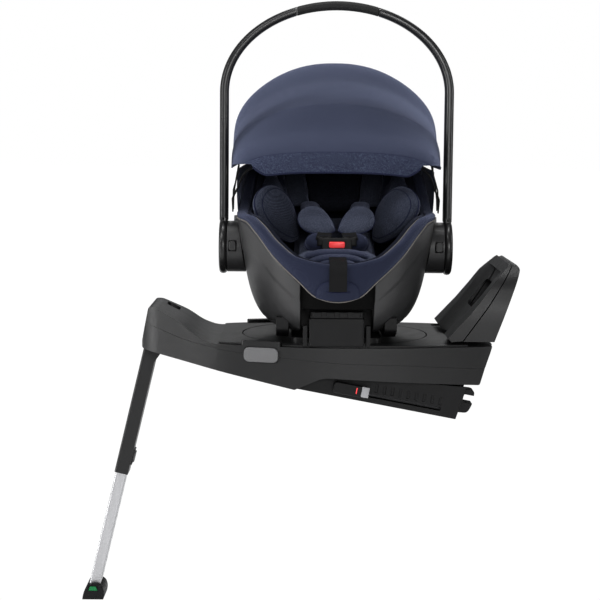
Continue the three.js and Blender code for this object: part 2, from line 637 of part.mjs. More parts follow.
piece("handle_grip", bow.intersect(block(-GRIP_HALF, GRIP_HALF, -50, 80, 600, 750)), FINISH.black);

// ---- Canopy -----------------------------------------------------------------------------------------

// Each bow lies in a plane through the hinge line. Front to back: plane angle, reach, squareness
// and how far the top falls away towards the sides.
const BOWS = [
  [141, 146, 4.5, 0.1], [130, 172, 6, 0.12], [112, 187, 9, 0.19], [95, 216, 11, 0.28],
  [75, 270, 12, 0.31], [61.5, 336, 12, 0.32], [41, 358, 8, 0.34], [24, 374, 5, 0.36],
];

function bowAt(place) {
  const index = Math.min(Math.floor(place), BOWS.length - 2);
  const part = place - index;
  return BOWS[index].map((value, i) => value + (BOWS[index + 1][i] - value) * part);
}

// A point on a bow: turn goes from 0 at the right side over the top to pi at the left side.
function onBow(place, turn, inset) {
  const [degrees, reach, square, fall] = bowAt(place);
  const [along, rise] = [Math.cos(turn), Math.sin(turn)];
  const scale = (Math.abs(along) ** square + rise ** square) ** (-1 / square);
  const across = along * scale;
  const out = rise * scale * (1 - fall * Math.abs(across) ** 2.3) * (reach - inset);
  const plane = degrees * DEG;
  return new THREE.Vector3(
    -across * (CANOPY.side - inset),
    CANOPY.y + out * Math.cos(plane),
    CANOPY.z + out * Math.sin(plane),
  );
}

// A point on the canopy: place runs front to back along the bows, over runs from side to side.
function canopy(place, over, inset) {
  const [degrees, reach, square, fall] = bowAt(place);
  const hem = Math.min((CANOPY.hem - CANOPY.z) / Math.sin(degrees * DEG), 0.9 * reach * (1 - fall));
  const rise = hem / (reach * (1 - fall));
  const start = Math.atan2(rise, (1 - rise ** square) ** (1 / square));
  return onBow(place, start + (Math.PI - 2 * start) * over, inset);
}
const panel = (from, to, rows) =>
  skin(
    (u, v) => canopy(from + (to - from) * v, u, 0),
    (u, v) => canopy(from + (to - from) * v, u, CANOPY.cloth),
    20,
    rows,
  );
piece("canopy_front", panel(0, 2.995, 5), FINISH.navy);
piece("canopy_middle", panel(3.005, 4.995, 3), FINISH.navy);
piece("canopy_rear", panel(5.005, 7, 3), FINISH.navy);

// The bows run inside the cloth, with straight flat ends down to the hinges.
function bowPath(place, inset) {
  const plane = bowAt(place)[0] * DEG;
  const legX = CANOPY.side - 3.6;
  const leg = (side, out) =>
    new THREE.Vector3(side * legX, CANOPY.y + out * Math.cos(plane), CANOPY.z + out * Math.sin(plane));
  const points = [leg(-1, 22), leg(-1, 40), leg(-1, 54)];
  for (let i = 0; i <= 18; i++) points.push(onBow(place, (32 + 116 * (i / 18)) * DEG, inset));
  points.push(leg(1, 54), leg(1, 40), leg(1, 22));
  return new THREE.CatmullRomCurve3(points);
}
for (const [name, place] of [["front", 0.9], ["middle", 3], ["rear", 5]])
  piece(`canopy_bow_${name}`, bar(bowPath(place, 14), 2.4, 5, 36), FINISH.black);
for (const [name, side] of HANDS) {
  const span = [side * 170, side * 188.5].sort((a, b) => a - b);
  piece(`canopy_hinge_${name}`, cylinder("x", [CANOPY.y, CANOPY.z], 8, ...span, 24)
    .subtract(clearOfPanels), FINISH.grey);
}

// ---- Inside the seat ----------------------------------------------------------------------------------

const room = bucketSolid(rimEdge, FOAM_IN + 8 + GAP, 160.5);
const insert = outline([
  [-172, 180, 8], [-168, 236, 10], [-140, 247, 10], [-60, 249, 30], [20, 256, 40], [100, 284, 30],
  [134, 300, 8], [150, 274, 8], [112, 216, 30], [60, 186, 30], [0, 176, 30],
]);
piece("seat_insert", slab("x", insert, -72, 72, 0, 3).intersect(room), FINISH.knit);

// The headrest holds the head between two wings and slides up the back.
const headRoom = bucketSolid(rimEdge, FOAM_IN + 16, 180);
let headrest = slab("x", outline([[180, 302, 6], [256, 408, 10], [230, 428, 10], [154, 322, 6]]), -118,
  118);
for (const [, side] of HANDS) {
  const ear = prism(
    "x",
    outline([[-62, 272, 12], [-66, 318, 24], [-26, 362, 40], [80, 388, 40], [226, 424, 16],
      [186, 330, 30], [100, 300, 40], [0, 272, 30]]),
    -17,
    17,
  );
  ear.translate(0, 0, -320);
  ear.rotateY(side * 24 * DEG);
  ear.translate(side * 108, 0, 320);
  headrest = headrest.add(solidOf(ear));
}
headrest = headrest.intersect(headRoom);
piece("headrest", headrest, FINISH.knit);

const crotch = outline([[-110, 251, 4], [-108, 264, 6], [-66, 266, 10], [-40, 258, 4], [-60, 252, 4]]);
piece("crotch_pad", slab("x", crotch, -34, 34), FINISH.navy);
let buckle = slab("y", boxOutline(-27, 27, 252, 277, 7), -128, -112, 2);
buckle = buckle.subtract(slab("y", boxOutline(-14.3, 14.3, 259.2, 270.8, 3), -140, -118.5));
piece("buckle", buckle, FINISH.black);
piece("buckle_button", slab("y", boxOutline(-14, 14, 259.5, 270.5, 3), -131, -122, 1), FINISH.red);

const path = (points) => new THREE.CatmullRomCurve3(points.map((point) => new THREE.Vector3(...point)));
for (const [name, side] of HANDS) {
  const pad = path([[side * 21, -70, 287], [side * 31, 10, 298], [side * 46, 86, 322]]);
  piece(`shoulder_pad_${name}`, bar(pad, 38, 12, 10), FINISH.knit);
  const strap = path([[side * 20, -110, 281], [side * 20.5, -70, 277], [side * 31, 10, 288],
    [side * 46, 90, 313], [side * 50, 122, 322]]);
  piece(`shoulder_strap_${name}`, bar(strap, 26, 2, 16), FINISH.webbing);
}
const adjuster = path([[0, -178, 246], [0, -228, 245], [0, -247, 244.4], [0, -254, 239], [0, -252, 226],
  [0, -243, 198]]);
piece("adjuster_strap", bar(adjuster, 30, 2, 16), FINISH.webbing);

export default seat;
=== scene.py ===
import json
import math
import random

import bpy
from mathutils import Matrix, Vector


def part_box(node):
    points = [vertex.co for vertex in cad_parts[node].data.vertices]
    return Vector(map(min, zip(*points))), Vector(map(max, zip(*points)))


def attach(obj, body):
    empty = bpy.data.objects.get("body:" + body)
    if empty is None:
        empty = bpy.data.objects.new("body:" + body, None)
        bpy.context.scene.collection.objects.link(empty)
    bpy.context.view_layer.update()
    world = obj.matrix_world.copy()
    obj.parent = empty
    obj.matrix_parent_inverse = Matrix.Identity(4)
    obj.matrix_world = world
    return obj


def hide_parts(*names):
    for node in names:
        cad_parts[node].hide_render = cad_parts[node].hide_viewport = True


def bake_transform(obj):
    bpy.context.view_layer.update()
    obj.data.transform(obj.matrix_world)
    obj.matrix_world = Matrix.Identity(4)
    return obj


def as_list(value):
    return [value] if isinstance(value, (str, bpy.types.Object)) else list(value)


# Infant carrier on a swivelling base with a support leg. Metres, +Z up, seat head towards +Y.

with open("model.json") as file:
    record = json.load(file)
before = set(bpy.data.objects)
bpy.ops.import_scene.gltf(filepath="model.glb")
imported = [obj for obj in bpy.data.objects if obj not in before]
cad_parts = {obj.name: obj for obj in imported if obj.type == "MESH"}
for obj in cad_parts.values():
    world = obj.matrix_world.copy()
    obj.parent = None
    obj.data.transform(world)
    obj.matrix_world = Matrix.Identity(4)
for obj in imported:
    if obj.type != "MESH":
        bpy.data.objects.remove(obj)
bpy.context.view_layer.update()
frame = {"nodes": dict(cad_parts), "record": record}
BODY_OF = {
    node: body
    for body, nodes in frame["record"]["behaviour"]["bodies"].items()
    for node in nodes
}
SIDES = (("left", -1), ("right", 1))
random.seed(7)

# ---- Studio ------------------------------------------------------------------------------------

bpy.ops.object.camera_add(
    location=(-0.0644, -3.0, 0.476),
    rotation=(math.radians(83.85), 0, 0),
)
camera = bpy.context.object
camera.data.lens = 97.77
camera.data.sensor_width = 36
camera.matrix_world = camera.matrix_world @ Matrix.Rotation(math.radians(0.5), 4, "Z")
bpy.context.scene.camera = camera
bpy.context.scene.view_settings.view_transform = "Standard"
bpy.context.scene.view_settings.gamma = 0.86

FLOOR = -0.4112
bpy.ops.mesh.primitive_plane_add(size=60, location=(0, 0, FLOOR))
floor = bpy.context.object
floor.name = "floor"


def soft_box(name, place, aim, size, watts):
    bpy.ops.object.light_add(type="AREA", location=place)
    light = bpy.context.object
    light.name = name
    light.data.shape = "RECTANGLE"
    light.data.size, light.data.size_y = size
    light.data.energy = watts
    light.rotation_euler = (Vector(aim) - Vector(place)).to_track_quat("-Z", "Y").to_euler()


soft_box("key_box", (-1.3, -1.7, 2.5), (0, 0, 0.3), (1.4, 1.0), 40)
soft_box("left_strip", (-2.6, -0.7, 0.5), (-0.1, 0, 0.15), (0.5, 2.0), 48)
soft_box("right_strip", (2.5, -0.2, 0.9), (0.1, 0, 0.25), (0.4, 2.0), 22)
soft_box("top_box", (0.0, 0.0, 2.8), (0, 0.1, 0.3), (1.2, 0.9), 40)
soft_box("front_box", (0.25, -2.6, 0.75), (0, -0.05, 0.33), (0.7, 0.7), 26)
soft_box("back_box", (0.3, 2.4, 1.9), (0, 0, 0.3), (1.8, 1.2), 16)

world = bpy.data.worlds.new("studio")
bpy.context.scene.world = world
world.use_nodes = True
air = world.node_tree
air.nodes.clear()
seen = air.nodes.new("ShaderNodeBackground")
seen.inputs["Strength"].default_value = 1.0
seen.inputs["Color"].default_value = (1, 1, 1, 1)
fill = air.nodes.new("ShaderNodeBackground")
fill.inputs["Strength"].default_value = 0.2
fill.inputs["Color"].default_value = (0.96, 0.98, 1, 1)
rays = air.nodes.new("ShaderNodeLightPath")
either = air.nodes.new("ShaderNodeMixShader")
sky = air.nodes.new("ShaderNodeOutputWorld")
air.links.new(rays.outputs["Is Camera Ray"], either.inputs["Fac"])
air.links.new(fill.outputs[0], either.inputs[1])
air.links.new(seen.outputs[0], either.inputs[2])
air.links.new(either.outputs[0], sky.inputs["Surface"])

# ---- Finishes ----------------------------------------------------------------------------------


class Wire:
    """A shader socket. Sums and products of wires and numbers add Math nodes."""

    def __init__(self, finish, socket):
        self.finish = finish
        self.socket = socket

    def math(self, operation, *terms):
        return self.finish.node("ShaderNodeMath", {"operation": operation}, dict(enumerate(terms)))

    def __add__(self, other):
        return self.math("ADD", self, other)

    def __sub__(self, other):
        return self.math("SUBTRACT", self, other)

    def __rsub__(self, other):
        return self.math("SUBTRACT", other, self)

    def __mul__(self, other):
        return self.math("MULTIPLY", self, other)

    __radd__ = __add__
    __rmul__ = __mul__

    def above(self, level, soft=0.05):
        """0 below a level and 1 above it, with a soft step."""
        low, high = level - soft, level + soft
        values = {"Value": self, "From Min": low, "From Max": high}
        return self.finish.node("ShaderNodeMapRange", {"clamp": True}, values)


class Finish:
    """A node material. node() makes any node, sets it and gives its output as a wire."""

    def __init__(self, name, color, roughness, **constants):
        self.material = bpy.data.materials.new(name)
        self.material.use_nodes = True
        self.tree = self.material.node_tree
        self.shader = self.tree.nodes["Principled BSDF"]
        self.color = color
        self.put("Base Color", (*color, 1))
        self.put("Roughness", roughness)
        for socket, value in constants.items():
            self.put(socket.replace("_", " "), value)
        self.material.diffuse_color = (*color, 1)
        self.here = self.node("ShaderNodeTexCoord", {}, {}, "Object")

    def connect(self, node, key, value):
        if isinstance(value, Wire):
            self.tree.links.new(value.socket, node.inputs[key])
        else:
            node.inputs[key].default_value = value

    def put(self, key, value):
        self.connect(self.shader, key, value)

    def node(self, kind, settings, inputs, output=0):
        made = self.tree.nodes.new(kind)
        for key, value in settings.items():
            if key == "stops":
                made.color_ramp.elements[0].position, made.color_ramp.elements[1].position = value
            else:
                setattr(made, key, value)
        for key, value in inputs.items():
            self.connect(made, key, value)
        return Wire(self, made.outputs[output])

    def noise(self, scale, detail=2.0, stretch=None):
        place = self.here
        if stretch:
            place = self.node("ShaderNodeMapping", {}, {"Vector": self.here, "Scale": stretch})
        values = {"Vector": place, "Scale": scale, "Detail": detail}
        return self.node("ShaderNodeTexNoise", {}, values, "Fac")

    def waves(self, scale, turn):
        place = self.node("ShaderNodeMapping", {}, {"Vector": self.here, "Rotation": turn})
        values = {"Vector": place, "Scale": scale, "Distortion": 0.6, "Detail": 1.0}
        return self.node("ShaderNodeTexWave", {"wave_type": "BANDS"}, values, "Fac")

    def cells(self, scale, output="Distance"):
        values = {"Vector": self.here, "Scale": scale}
        return self.node("ShaderNodeTexVoronoi", {}, values, output)

    def between(self, share, first, second):
        """A colour that runs from the first to the second with a share from 0 to 1."""
        settings = {"data_type": "RGBA"}
        return self.node("ShaderNodeMix", settings, {0: share, 6: (*first, 1), 7: (*second, 1)}, 2)

    def mixed(self, share, first, second):
        settings = {"data_type": "RGBA"}
        ends = [value if isinstance(value, Wire) else (*value, 1) for value in (first, second)]
        return self.node("ShaderNodeMix", settings, {0: share, 6: ends[0], 7: ends[1]}, 2)

    def bump(self, height, distance, strength=1.0):
        values = {"Height": height, "Distance": distance, "Strength": strength}
        self.put("Normal", self.node("ShaderNodeBump", {}, values))


def shade(color, factor):
    return tuple(min(1, channel * factor) for channel in color)


def moulded(
    name, color, roughness, grain=2600, depth=0.00012, spread=0.16, specular=0.42, **constants
):
    """Injection-moulded plastic: fine spark grain, slow tone drift and faint handling wear."""
    finish = Finish(name, color, roughness, Specular_IOR_Level=specular, **constants)
    drift = finish.noise(14, 3)
    scuffs = finish.noise(90, 5, (1, 1, 0.25)).above(0.66, 0.05)
    tone = finish.between(drift, shade(color, 1 - spread), shade(color, 1 + spread))
    finish.put("Base Color", finish.mixed(scuffs * 0.12, tone, shade(color, 2.2)))
    finish.put("Roughness", finish.noise(40, 4) * 0.14 + (roughness - 0.07) + scuffs * 0.05)
    finish.bump(finish.noise(grain, 2) + finish.cells(grain * 0.6) * 0.5, depth, 0.55)
    return finish.material


def metal(name, color, roughness, brushed=(1, 1, 40)):
    finish = Finish(name, color, roughness, Metallic=1.0)
    lines = finish.noise(160, 3, brushed)
    finish.put("Base Color", finish.between(lines, shade(color, 0.86), shade(color, 1.08)))
    finish.put("Roughness", lines * 0.16 + (roughness - 0.08))
    finish.bump(lines, 0.0001, 0.3)
    return finish.material


def knitted(name, dark, light, stitch=900, heather=0.5, depth=0.0004, sheen=0.35):
    """Knit or woven cloth: crossed rows of stitches, flecks of lighter yarn and slow fading. The
    raised stitches are also painted lighter, as painted highlight.
    """
    finish = Finish(name, dark, 0.92, Specular_IOR_Level=0.15)
    finish.put("Sheen Weight", sheen)
    finish.put("Sheen Roughness", 0.38)
    finish.put("Sheen Tint", (0.62, 0.68, 0.95, 1))
    rows = finish.waves(stitch * 0.3, (0.6, 0.2, 0.785))
    wales = finish.waves(stitch * 0.3, (0.3, 0.9, -0.785))
    yarn = rows * wales
    flecks = finish.noise(stitch * 1.1, 2).above(0.56, 0.1)
    fade = finish.noise(9, 3)
    # Heather flecks and slow fading are the cloth's own tone; the yarn term paints the raised
    # stitches lighter as painted highlight.
    share = flecks * heather + fade * 0.35 + yarn * 0.25
    finish.put("Base Color", finish.between(share, dark, light))
    finish.put("Roughness", finish.noise(60, 3) * 0.1 + 0.84)
    finish.bump(yarn + flecks * 0.5 + finish.noise(120, 3) * 1.5, depth, 0.6)
    return finish.material


def woven(name, color, ribs=(0, 0, 0), scale=330):
    """Webbing with close ribs and darker pits between them: painted shade in the pits and painted
    highlight on the ribs, following the rib height.
    """
    finish = Finish(name, color, 0.75, Specular_IOR_Level=0.15)
    warp = finish.waves(scale, ribs)
    weft = finish.waves(scale * 0.8, (0.4, 1.2, 0.3))
    weave = warp * 0.7 + weft * 0.5
    # The colour follows the rib height: painted shade in the pits, painted highlight on the ribs.
    finish.put("Base Color", finish.between(weave, shade(color, 0.55), shade(color, 1.7)))
    finish.bump(weave, 0.0005, 0.7)
    return finish.material


def open_mesh(name, color):
    """Spacer mesh with small holes painted dark, as painted shade inside them."""
    finish = Finish(name, color, 0.9, Specular_IOR_Level=0.1)
    holes = finish.cells(520).above(0.38, 0.08)
    # Painted shade in the holes; the threads between them are painted a little lighter.
    finish.put("Base Color", finish.between(holes, shade(color, 0.35), shade(color, 1.3)))
    finish.bump(holes, 0.0006, 0.8)
    return finish.material


def beads(name, color):
    finish = Finish(name, color, 0.8)
    pressed = finish.cells(260)
    # The colour darkens towards the edge of each bead: painted shade in the creases between beads,
    # matching the bump.
    finish.put("Base Color", finish.between(pressed, shade(color, 1.05), shade(color, 0.8)))
    finish.bump(pressed * -1, 0.001, 0.5)
    return finish.material


CHARCOAL = (0.0105, 0.0105, 0.011)
NAVY = (0.014, 0.017, 0.034)
FINISHES = {
    "housing": moulded("housing_plastic", CHARCOAL, 0.42),
    "deck": moulded("deck_plastic", (0.016, 0.016, 0.0165), 0.45),
    "black": moulded("black_plastic", (0.005, 0.005, 0.0055), 0.48, specular=0.25),
    # Seat shell: its own black plastic, darkened further and stripped of reflection as painted
    # shade where it shows between the side panels.
    "shade_black": moulded("shade_black_plastic", (0.002, 0.002, 0.002), 0.75, specular=0.08),
    "disc": moulded("turntable_plastic", (0.007, 0.007, 0.0075), 0.42),
    "grey": moulded("grey_plastic", (0.12, 0.12, 0.123), 0.5, depth=0.0002),
    "panel": moulded("panel_plastic", (0.028, 0.028, 0.029), 0.4),
    "handle": moulded("handle_plastic", (0.014, 0.014, 0.0145), 0.3, depth=0.00004),
    "grip": moulded("grip_rubber", (0.008, 0.008, 0.008), 0.72, grain=1400, depth=0.0005),
    "light": moulded("light_plastic", (0.3, 0.3, 0.31), 0.4),
    "red": moulded("red_plastic", (0.95, 0.075, 0.08), 0.35, spread=0.03),
    "green": moulded("green_plastic", (0, 0.16, 0.045), 0.45, spread=0.05),
    "steel": metal("plain_steel", (0.5, 0.5, 0.51), 0.35),
    "dark_steel": metal("blackened_steel", (0.05, 0.05, 0.052), 0.45),
    "aluminium": metal("anodised_tube", (0.46, 0.46, 0.47), 0.42, (1, 1, 0.05)),
    "foam": beads("bead_foam", (0.006, 0.006, 0.0065)),
    "cover": knitted("cover_knit", NAVY, (0.032, 0.038, 0.068), 1100, 0.25, sheen=0.24),
    "canopy": knitted(
        "canopy_cloth", (0.030, 0.036, 0.062), (0.064, 0.073, 0.115), 1300, 0.3, sheen=0.35
    ),
    "visor": knitted(
        "visor_knit", (0.014, 0.018, 0.038), (0.07, 0.082, 0.13), 620, 0.85, 0.0006, sheen=0.2
    ),
    "heather": knitted(
        "heather_knit", (0.018, 0.022, 0.036), (0.07, 0.078, 0.11), 640, 0.8, 0.0006, sheen=0.26
    ),
    "lining": knitted(
        "lining_cloth", (0.004, 0.005, 0.01), (0.012, 0.014, 0.026), 800, 0.4, sheen=0.1
    ),
    "mesh": open_mesh("spacer_mesh", (0.010, 0.011, 0.017)),
    "piping": woven("piping_cord", (0.16, 0.15, 0.14), (0.5, 0.5, 0.5), 500),
    "binding": woven("hem_binding", (0.014, 0.017, 0.04), (0.2, 0.5, 0.1), 500),
    "thread": woven("thread", (0.05, 0.06, 0.12), (0.5, 0.5, 0), 900),
    "webbing": woven("black_webbing", (0.008, 0.008, 0.0085), (0.1, 0, 0.785)),
}
floor_finish = Finish("floor_paint", (0.9, 0.9, 0.9), 0.75, Emission_Strength=0.3)
floor_finish.put("Emission Color", (1, 1, 1, 1))
tone = floor_finish.noise(3, 2)
floor_finish.put("Base Color", floor_finish.between(tone, (0.88, 0.88, 0.88), (0.92, 0.92, 0.92)))
paint = floor_finish.material.node_tree
glow = paint.nodes.new("ShaderNodeEmission")
glow.inputs["Strength"].default_value = 1.02
camera_rays = paint.nodes.new("ShaderNodeLightPath")
seen_floor = paint.nodes.new("ShaderNodeMixShader")
floor_end = next(node for node in paint.nodes if node.type == "OUTPUT_MATERIAL")
floor_shader = next(node for node in paint.nodes if node.type == "BSDF_PRINCIPLED")
paint.links.new(camera_rays.outputs["Is Camera Ray"], seen_floor.inputs["Fac"])
paint.links.new(floor_shader.outputs[0], seen_floor.inputs[1])
paint.links.new(glow.outputs[0], seen_floor.inputs[2])
paint.links.new(seen_floor.outputs[0], floor_end.inputs["Surface"])
floor.data.materials.append(floor_finish.material)

# ---- Making tools ------------------------------------------------------------------------------


def pick(*pieces):
    """Only these pieces are selected, and the first is active."""
    bpy.ops.object.select_all(action="DESELECT")
    for piece in pieces:
        piece.select_set(True)
    if pieces:
        bpy.context.view_layer.objects.active = pieces[0]


def edit(piece, *steps):
    """Runs edit-mode operators on the whole piece."""
    pick(piece)
    bpy.ops.object.mode_set(mode="EDIT")
    bpy.ops.mesh.select_all(action="SELECT")
    for step, settings in steps:
        step(**settings)
    bpy.ops.object.mode_set(mode="OBJECT")


OUTWARD = (bpy.ops.mesh.normals_make_consistent, {"inside": False})


def capped(piece):
    """Closes the open ends of a tube with faces."""
    edit(piece, (bpy.ops.mesh.region_to_loop, {}), (bpy.ops.mesh.edge_face_add, {}))


def merged(piece, distance=1e-5, outward=True):
    steps = [(bpy.ops.mesh.remove_doubles, {"threshold": distance})]
    if outward:
        steps.append(OUTWARD)
    edit(piece, *steps)


def finished(piece, kind, **settings):
    """Adds one modifier and applies it."""
    pick(piece)
    modifier = piece.modifiers.new(kind.lower(), kind)
    for key, value in settings.items():
        setattr(modifier, key, value)
    bpy.ops.object.modifier_apply(modifier=modifier.name)


def smooth(piece, degrees=40):
    pick(piece)
    bpy.ops.object.shade_smooth_by_angle(angle=math.radians(degrees))


def settled(piece):
    """The place goes into the mesh and the object to the origin."""
    pick(piece)
    bpy.ops.object.transform_apply(location=True, rotation=True, scale=True)


def dress(piece, finish, body, stands_for=()):
    """Paints a finished piece and, when its body is given by name, lets it move with that body;
    otherwise its place is only baked into its mesh.
    """
    piece.data.materials.clear()
    piece.data.materials.append(FINISHES[finish])
    if isinstance(body, str):
        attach(piece, body)
    else:
        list(body)
        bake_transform(piece)
    if stands_for:
        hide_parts(*stands_for)
    return piece


def surface(name, columns, rows, place, wrap=False):
    """A grid primitive whose points are moved onto place(across, along), both from 0 to 1."""
    bpy.ops.object.select_all(action="DESELECT")
    bpy.ops.mesh.primitive_grid_add(x_subdivisions=columns, y_subdivisions=rows, size=1)
    piece = bpy.context.object
    piece.name = name
    for vertex in piece.data.vertices:
        vertex.co = place(vertex.co.x + 0.5, vertex.co.y + 0.5)
    if wrap:
        merged(piece)
    return piece


def sheet(name, columns, rows, place, thick, finish, body, wrap=False, stands_for=()):
    piece = surface(name, columns, rows, place, wrap)
    finished(piece, "SOLIDIFY", thickness=thick, offset=0)
    merged(piece)
    smooth(piece, 50)
    return dress(piece, finish, body, stands_for)


def line(name, points, radius, finish, body, closed=False):
    """A round cord, seam or edge along points."""
    curve = bpy.data.curves.new(name, "CURVE")
    curve.dimensions = "3D"
    curve.bevel_depth = radius
    curve.bevel_resolution = 2
    curve.use_fill_caps = True
    spline = curve.splines.new("POLY")
    spline.points.add(len(points) - 1)
    for at, point in zip(spline.points, points):
        at.co = (*point, 1)
    spline.use_cyclic_u = closed
    piece = bpy.data.objects.new(name, curve)
    bpy.context.scene.collection.objects.link(piece)
    pick(piece)
    bpy.ops.object.convert(target="MESH")
    piece = bpy.context.object
    smooth(piece, 60)
    return dress(piece, finish, body)


def curve_through(points, steps):
    """Evenly numbered points on a smooth curve through a few points."""
    points = [Vector(point) for point in points]
    made = []
    for index in range(len(points) - 1):
        a, b = points[index], points[index + 1]
        before = points[index - 1] if index else a * 2 - b
        after = points[index + 2] if index + 2 < len(points) else b * 2 - a
        for step in range(steps):
            t = step / steps
            made.append(
                0.5
                * (
                    2 * a
                    + (b - before) * t
                    + (2 * before - 5 * a + 4 * b - after) * t * t
                    + (3 * a - before - 3 * b + after) * t**3
                )
            )
    return [*made, points[-1]]


def on_line(points, share):
    """The point at a share of the way along a list of points."""
    at = min(share, 0.99999) * (len(points) - 1)
    index = int(at)
    return points[index].lerp(points[index + 1], at - index)


def ribbon(name, points, wide, thick, finish, body, stands_for=(), lean=0.0, rows=60):
    """Flat webbing along a smooth curve. It lies across X, leaning by an angle."""
    across = Vector((math.cos(lean), 0, math.sin(lean)))

    def place(u, v):
        return on_line(points, v) + across * (wide * (u - 0.5))

    return sheet(name, 10, rows, place, thick, finish, body, stands_for=stands_for)


def stitches(name, points, body, long=0.0032, gap=0.0018, finish="thread", radius=0.00035):
    """A row of short threads along a line. One thread is modelled, and the others are copies."""
    bpy.ops.object.select_all(action="DESELECT")
    bpy.ops.mesh.primitive_cylinder_add(vertices=6, radius=radius, depth=long)
    thread = bpy.context.object
    finished(thread, "BEVEL", width=radius * 0.5, segments=1)
    made = []
    travelled, due = 0.0, 0.0
    for start, end in zip(points, points[1:]):
        step = (end - start).length
        while step > 0 and due <= travelled + step:
            at = start.lerp(end, (due - travelled) / step)
            turn = (end - start).to_track_quat("Z", "Y").to_matrix().to_4x4()
            copy = thread.copy()
            copy.data = thread.data.copy()
            copy.data.transform(Matrix.Translation(at) @ turn)
            bpy.context.scene.collection.objects.link(copy)
            made.append(copy)
            due += long + gap
        travelled += step
    bpy.data.objects.remove(thread)
    pick(*made)
    bpy.ops.object.join()
    seam = bpy.context.object
    seam.name = name
    smooth(seam, 60)
    return dress(seam, finish, body)


def copy_of(node, name):
    """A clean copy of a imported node's mesh, to be finished by hand."""
    source = frame["nodes"][node]
    piece = bpy.data.objects.new(name, source.data.copy())
    bpy.context.scene.collection.objects.link(piece)
    edit(
        piece,
        (bpy.ops.mesh.remove_doubles, {"threshold": 1e-5}),
        (bpy.ops.mesh.dissolve_limited, {"angle_limit": math.radians(0.8)}),
    )
    return piece


def moulding(node, finish, edge=0.0008, angle=32, smoothing=38):
    """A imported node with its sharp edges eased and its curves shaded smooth."""
    piece = copy_of(node, node + "_part")
    if edge:
        limits = {"limit_method": "ANGLE", "angle_limit": math.radians(angle)}
        finished(piece, "BEVEL", width=edge, segments=2, use_clamp_overlap=True, **limits)
    smooth(piece, smoothing)
    finished(piece, "WEIGHTED_NORMAL", keep_sharp=True)
    return dress(piece, finish, BODY_OF[node], [node])


def stuffed(piece, cap, voxel=0.005, pressure=4.0):
    """Swells a closed form like a filled pad, with no point moving further than cap."""
    finished(piece, "REMESH", mode="VOXEL", voxel_size=voxel)
    rest = [vertex.co.copy() for vertex in piece.data.vertices]
    pick(piece)
    cloth = piece.modifiers.new("cloth", "CLOTH")
    cloth.settings.use_pressure = True
    cloth.settings.uniform_pressure_force = pressure
    cloth.settings.effector_weights.gravity = 0
    cloth.settings.quality = 4
    for frame_number in range(1, 21):
        bpy.context.scene.frame_set(frame_number)
    shown = piece.evaluated_get(bpy.context.evaluated_depsgraph_get())
    swollen = [vertex.co.copy() for vertex in shown.data.vertices]
    piece.modifiers.remove(cloth)
    bpy.context.scene.frame_set(1)
    for vertex, before, after in zip(piece.data.vertices, rest, swollen):
        shift = after - before
        if shift.length > cap:
            shift *= cap / shift.length
        vertex.co = before + shift
    finished(piece, "SMOOTH", factor=0.5, iterations=3)
    finished(piece, "SUBSURF", levels=1, render_levels=1)
    smooth(piece, 80)
    return piece


# ---- The shapes the seat is drawn from ---------------------------------------------------------

RIM = (
    (0, 0.240), (20, 0.250), (35, 0.275), (50, 0.305), (62, 0.316), (92, 0.318),
    (116, 0.398), (145, 0.450), (180, 0.472),
)
COVER_EDGE = (
    (0, 0.172), (10, 0.180), (20, 0.208), (35, 0.246), (50, 0.286), (62, 0.304),
    (98, 0.308), (120, 0.340), (150, 0.392), (180, 0.412),
)
# Each canopy bow: place from the front, plane angle, reach, squareness and fall at the sides.
BOWS = (
    (0, 141, 0.146, 4.5, 0.10), (1, 130, 0.172, 6, 0.12), (2, 112, 0.187, 9, 0.19),
    (3, 95, 0.216, 11, 0.28), (4, 75, 0.270, 12, 0.31), (5, 61.5, 0.336, 12, 0.32),
    (6, 41, 0.358, 8, 0.34), (7, 24, 0.374, 5, 0.36),
)
BUCKET_SIDE, BUCKET_FOOT, BUCKET_HEAD, BUCKET_BOTTOM = 0.182, 0.250, 0.350, 0.104
HANDLE_Y, HANDLE_Z = 0.010, 0.251
CANOPY_Y, CANOPY_Z, CANOPY_SIDE, CANOPY_HEM = 0.040, 0.299, 0.194, 0.395


def eased(share):
    return share * share * (3 - 2 * share)


def clamp(value, low=0.0, high=1.0):
    return max(low, min(high, value))


def on_table(table, at, column=1):
    """A smooth value between the rows of a table, with no overshoot."""
    at = clamp(at, table[0][0], table[-1][0])
    index = next((i for i in range(len(table) - 1) if at <= table[i + 1][0]), len(table) - 2)

    def slope(i):
        if i <= 0 or i >= len(table) - 1:
            return 0.0
        left = (table[i][column] - table[i - 1][column]) / (table[i][0] - table[i - 1][0])
        right = (table[i + 1][column] - table[i][column]) / (table[i + 1][0] - table[i][0])
        return 0.0 if left * right <= 0 else 2 * left * right / (left + right)

    low, high = table[index], table[index + 1]
    span = high[0] - low[0]
    t = (at - low[0]) / span
    a, b = low[column], high[column]
    return (
        a * (1 + 2 * t) * (1 - t) ** 2
        + b * t * t * (3 - 2 * t)
        + span * slope(index) * t * (1 - t) ** 2
        + span * slope(index + 1) * t * t * (t - 1)
    )


def degrees_of(turn):
    return abs(math.degrees(math.atan2(math.sin(turn), math.cos(turn))))


def rim_height(turn):
    return on_table(RIM, degrees_of(turn))


def cover_height(turn):
    return on_table(COVER_EDGE, degrees_of(turn))


def bucket(turn, height, inset, bottom=BUCKET_BOTTOM):
    """A point on the bucket at a turn from the foot end, moved inwards by an inset."""
    sine, cosine = math.sin(turn), math.cos(turn)
    to_head = eased(clamp((-cosine + 0.2) / 1.2))
    rim = rim_height(turn)
    depth = clamp((rim - height) / (rim - bottom))
    power = 5 - 3 * to_head
    shut = 0.0 if depth > 0.99999 else (1 - depth**power) ** (1 / power)
    close = shut * (1 - (0.17 - 0.02 * to_head) * depth)
    across = math.copysign(abs(sine) ** 0.87, sine) * (BUCKET_SIDE - inset)
    reach = (BUCKET_FOOT if cosine > 0 else BUCKET_HEAD) - inset
    along = -math.copysign(abs(cosine) ** 0.87, cosine) * reach
    return Vector((across * close, along * close, height))


